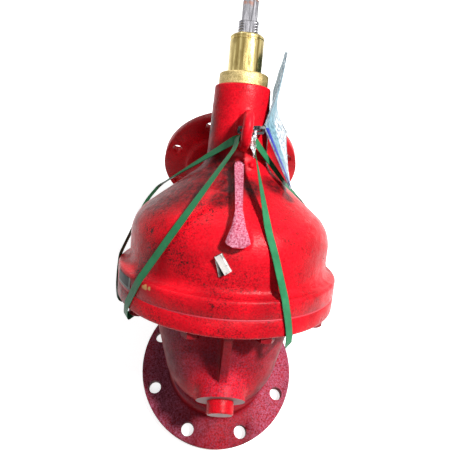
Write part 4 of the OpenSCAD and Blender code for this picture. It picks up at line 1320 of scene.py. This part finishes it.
# White, less see-through patches: painted highlights on the creases.
lit_creases = add(tree, "ShaderNodeMapRange", span(creases, 0.5, 0.62))
see_through = add(tree, "ShaderNodeMapRange", span(lit_creases, 0, 1, 0.85, 0.25))
colour = coats(tree, "#E8EEF4", (lit_creases, "#FFFFFF"))
shader = {"Base Color": colour, "Transmission Weight": see_through, "Roughness": 0.18, "IOR": 1.5}
end_finish(tree, shader, creases, 0.5, 0.8)

TAIL = [(19.5, -68.5, 246), (18.5, -76, 239), (15.5, -83, 231),
        (16.5, -86, 222), (18.5, -86, 213), (20, -84, 206)]
TAIL_WIDE = [2.2, 3.6, 5.0, 4.2, 2.6, 1.2]
TAIL_ROWS, TAIL_COLUMNS, TWIST, CRUMPLE, CURL = 31, 9, 0.9, 1.6, 0.8
rows = []
for i in range(TAIL_ROWS):
    t = i / (TAIL_ROWS - 1) * (len(TAIL) - 1)
    k = min(int(t), len(TAIL) - 2)
    middle = Vector(TAIL[k]).lerp(Vector(TAIL[k + 1]), t - k)
    wide = TAIL_WIDE[k] + (TAIL_WIDE[k + 1] - TAIL_WIDE[k]) * (t - k)
    turn = TWIST * math.sin(t * 2)
    across_way = Vector((math.cos(turn), math.sin(turn), 0.25)).normalized()
    row = []
    for j in range(TAIL_COLUMNS):
        a = j / (TAIL_COLUMNS - 1) - 0.5
        co = middle + across_way * (a * 2 * wide)
        co.y -= CRUMPLE * abs(folds.noise(co * 0.35)) + CURL * math.cos(6 * a + t)
        row.append(on_bonnet(*co))
    rows.append(row)
limp = sheet_of(rows, 0.3 * MM, rounded=False)
tail = new_piece("Tie_Tail", limp, "valve_body", clear)
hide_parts("tie_tail")
print("tail:", len(limp.polygons), "faces")

# %% [markdown]
# ## Leaflet
# The leaflet is a few sheets of coated paper, folded once and hung by the middle of the fold. Above the
# tie it has closed up and stands almost edge-on. At the tie it springs open, and closes again
# towards its lower corner. So each sheet starts at the fold and runs off in a direction that turns
# along it, and is crumpled by folded noise, which has sharp ridges where paper breaks. Nothing is
# printed on it but a plain blue band beside the fold and a grey-blue panel.

# %% The fold and the way the sheets run from it
FOLD = (58, -30, 366), (34, -41, 253), (82, -62, 164)
RUN = (0.15, 0.95, 0.24), (0.5, 0.86, 0.02), (0.14, 0.98, 0.13)
FOLD_TOP, FOLD_TIE, FOLD_LOW = map(Vector, FOLD)
RUN_TOP, RUN_TIE, RUN_LOW = map(Vector, RUN)
LEAF_W, FOLD_START, BOW, PAPER_T = 100, 2, 4.0, 0.3 * MM
HALF_ROWS, COLUMNS = 36, 28


def fold_at(s):
    """The fold at -1 (top), 0 (tie) to 1 (low end), and the direction of the sheets there."""
    if s < 0:
        near = (1 + s) ** 6
        place = FOLD_TOP.lerp(FOLD_TIE, 1 + s) + Vector((3.0, 0, 0)) * math.sin(math.pi * (1 + s))
        return place, RUN_TOP.lerp(RUN_TIE, near).normalized()
    return FOLD_TIE.lerp(FOLD_LOW, s), RUN_TIE.lerp(RUN_LOW, s ** 0.9).normalized()


def paper(lift, fall, crumple, seed, short=0.0):
    """One sheet from the fold. It starts so many mm to the front, and falls back by so many at its
    far edge. short is how much narrower it is than the leaflet."""
    rows, along, across = [], [], []
    for i in range(-HALF_ROWS, HALF_ROWS + 1):
        s = i / HALF_ROWS
        start, run = fold_at(s)
        ahead, _ = fold_at(min(s + 0.02, 1))
        back, _ = fold_at(max(s - 0.02, -1))
        side = (ahead - back).normalized().cross(run).normalized()
        row = []
        for j in range(COLUMNS):
            a = j / (COLUMNS - 1)
            far = FOLD_START + a * (LEAF_W - short)
            bow = BOW * math.sin(math.pi * a) * (1 - s * s)
            grain = Vector((s * 3.5, a * 3.0, seed))
            ridges = abs(folds.noise(grain)) + 0.5 * abs(folds.noise(grain * 2.3))
            open_by = (1 - s * s) * a
            out = lift + bow - fall * open_by - crumple * ridges * min(1, 4 * a)
            row.append(on_bonnet(*(start + run * far + side * out)))
            along.append(s)
            across.append(far)
        rows.append(row)
    return sheet_of(rows, PAPER_T, {"along": along, "across": across}, rounded=False)


print("fold runs", round((FOLD_TOP - FOLD_TIE).length + (FOLD_LOW - FOLD_TIE).length), "mm")

# %% [markdown]
# Coated paper has a hard, slightly shiny face. Its colours are blotched by noise: on the white parts
# the grey and white blotches are painted light and shade of its crumples. The cover's colours follow
# its own two numbers: how far along the fold a point lies, and how far from it. Its far edge, from the
# tie down, is darker: a painted shadow of the page edges.

# %% Coated paper
card, tree, place = new_finish("coated cover paper")
s = add(tree, "ShaderNodeAttribute", attribute_name="along").outputs["Fac"]
far = add(tree, "ShaderNodeAttribute", attribute_name="across").outputs["Fac"]
blotch_noise = add(tree, "ShaderNodeTexNoise", blobs(place, 6, 4, 0.7))
pale_blotches = add(tree, "ShaderNodeMapRange", span(blotch_noise, 0.4, 0.65))
tint = coats(tree, "#456874", (pale_blotches, "#7FA6B4"))
# Grey and white blotches on the white part: painted shade and highlights of crumpled paper.
crumple_shading = patches(tree, place, 7, 0.44, 0.58, detail=4, rough=0.7)
white = coats(tree, "#707E88", (crumple_shading, "#DCE2E6"))
lower = add(tree, "ShaderNodeMapRange", span(s, -0.22, -0.08))
outer = add(tree, "ShaderNodeMapRange", span(far, 34, 38))
panel = add(tree, "ShaderNodeMath", {0: outer, 1: lower}, operation="MULTIPLY")
by_fold = add(tree, "ShaderNodeMapRange", span(far, 11.5, 12, 1.0, 0.0))
under_tie = add(tree, "ShaderNodeMapRange", span(s, 0.0, 0.02))
band = add(tree, "ShaderNodeMath", {0: by_fold, 1: under_tie}, operation="MULTIPLY")
# A darker far edge from the tie down: painted shadow of the page edges.
edge = add(tree, "ShaderNodeMapRange", span(far, LEAF_W - 7, LEAF_W - 4))
shaded_edge = add(tree, "ShaderNodeMath", {0: edge, 1: lower}, operation="MULTIPLY")
colour = coats(tree, tint, (panel, white), (band, "#10208C"), (shaded_edge, "#4A5862"))
gloss = add(tree, "ShaderNodeMapRange", span(blotch_noise, 0.3, 0.7, 0.28, 0.5))
shader = {"Base Color": colour, "Roughness": gloss, "IOR": 1.5, "Specular IOR Level": 0.1}
end_finish(tree, shader, blotch_noise, 0.6, 0.6)

plain_paper, tree, place = new_finish("coated white paper")
blotch_noise = add(tree, "ShaderNodeTexNoise", blobs(place, 8, 4, 0.7))
# Grey and white blotches: painted shade and highlights of crumpled paper.
pale_blotches = add(tree, "ShaderNodeMapRange", span(blotch_noise, 0.4, 0.6))
gloss = add(tree, "ShaderNodeMapRange", span(blotch_noise, 0.3, 0.7, 0.35, 0.6))
colour = coats(tree, "#7C8894", (pale_blotches, "#D2DADE"))
shader = {"Base Color": colour, "Roughness": gloss, "IOR": 1.5, "Specular IOR Level": 0.1}
end_finish(tree, shader, blotch_noise, 0.5, 0.5)
print("papers:", card.name, "|", plain_paper.name)

# %% Sheets
cover_sheets = joined("covers", paper(2.2, 0.0, 1.6, 1.0), paper(-0.7, 6.0, 1.6, 2.0))
creased(cover_sheets, 35)
cover = new_piece("Leaflet_Cover", cover_sheets, "valve_body", card)
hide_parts("leaflet_cover")
inner = [(1.4, 1.2, 1.5, 5.0, 1.0), (0.7, 2.6, 1.5, 6.0, 2.5), (0.0, 4.0, 1.5, 7.0, 0.5)]
page_sheets = joined("pages", *(paper(*sheet) for sheet in inner))
creased(page_sheets, 35)
pages = new_piece("Leaflet_Pages", page_sheets, "valve_body", plain_paper)
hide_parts("leaflet_pages")
print("leaflet:", len(cover_sheets.polygons) + len(page_sheets.polygons), "faces")

# %% [markdown]
# ## Rim label
# A small film label is stuck on the rim's side. Film follows the casting, lies a hair proud of it, and
# has round corners. It shows only plain stripes inside a pale border: no words and no code.

# %% Label
LABEL_TURN, LABEL_HALF, LABEL_LOW, LABEL_HIGH, LABEL_R = -60, 8, 4, 22, 182.3
LABEL_ROWS, LABEL_COLUMNS, LABEL_T, CORNER = 13, 33, 0.3, 2.0
rows, along, across = [], [], []
for i in range(LABEL_ROWS):
    up = LABEL_LOW + (LABEL_HIGH - LABEL_LOW) * i / (LABEL_ROWS - 1)
    nearest = min(up - LABEL_LOW, LABEL_HIGH - up)
    cut = CORNER - math.sqrt(max(0, CORNER ** 2 - max(0, CORNER - nearest) ** 2))
    half = LABEL_HALF - math.degrees(cut / LABEL_R)
    row = []
    for j in range(LABEL_COLUMNS):
        turn = LABEL_TURN - half + 2 * half * j / (LABEL_COLUMNS - 1)
        row.append(dial_place(turn, LABEL_R, up))
        along.append((turn - LABEL_TURN) / LABEL_HALF)
        across.append(up - LABEL_LOW)
    rows.append(row)
stuck = sheet_of(rows, LABEL_T * MM, {"along": along, "across": across}, rounded=False)

film, tree, place = new_finish("grey polyester label film")
s = add(tree, "ShaderNodeAttribute", attribute_name="along").outputs["Fac"]
up = add(tree, "ShaderNodeAttribute", attribute_name="across").outputs["Fac"]
phase = add(tree, "ShaderNodeMath", {0: s, 1: 30}, operation="MULTIPLY")
wave = add(tree, "ShaderNodeMath", {0: phase}, operation="SINE")
stripes = add(tree, "ShaderNodeMapRange", span(wave, -0.1, 0.1))
at_side = add(tree, "ShaderNodeMapRange", span(s, 0.80, 0.82))
at_foot = add(tree, "ShaderNodeMapRange", span(up, 3.2, 3.6, 1.0, 0.0))
border = add(tree, "ShaderNodeMath", {0: at_side, 1: at_foot}, operation="MAXIMUM")
colour = coats(tree, "#0E1012", (stripes, "#3C4042"), (border, "#7C807C"))
skin = add(tree, "ShaderNodeTexNoise", blobs(place, 2))
shader = {"Base Color": colour, "Roughness": 0.4, "IOR": 1.55, "Specular IOR Level": 0.04}
end_finish(tree, shader, skin, 0.05)
label = new_piece("Rim_Label", stuck, "valve_body", film)
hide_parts("rim_label")
print("label:", len(stuck.polygons), "faces")

# %% [markdown]
# ## Sizes, and the end
# The CAD model's box is printed. The finished model has to stay inside the CAD model's box.

# %% Write the sizes and finish
print("CAD box", [list(map(lambda v: round(v, 4), corner)) for corner in cad_box])
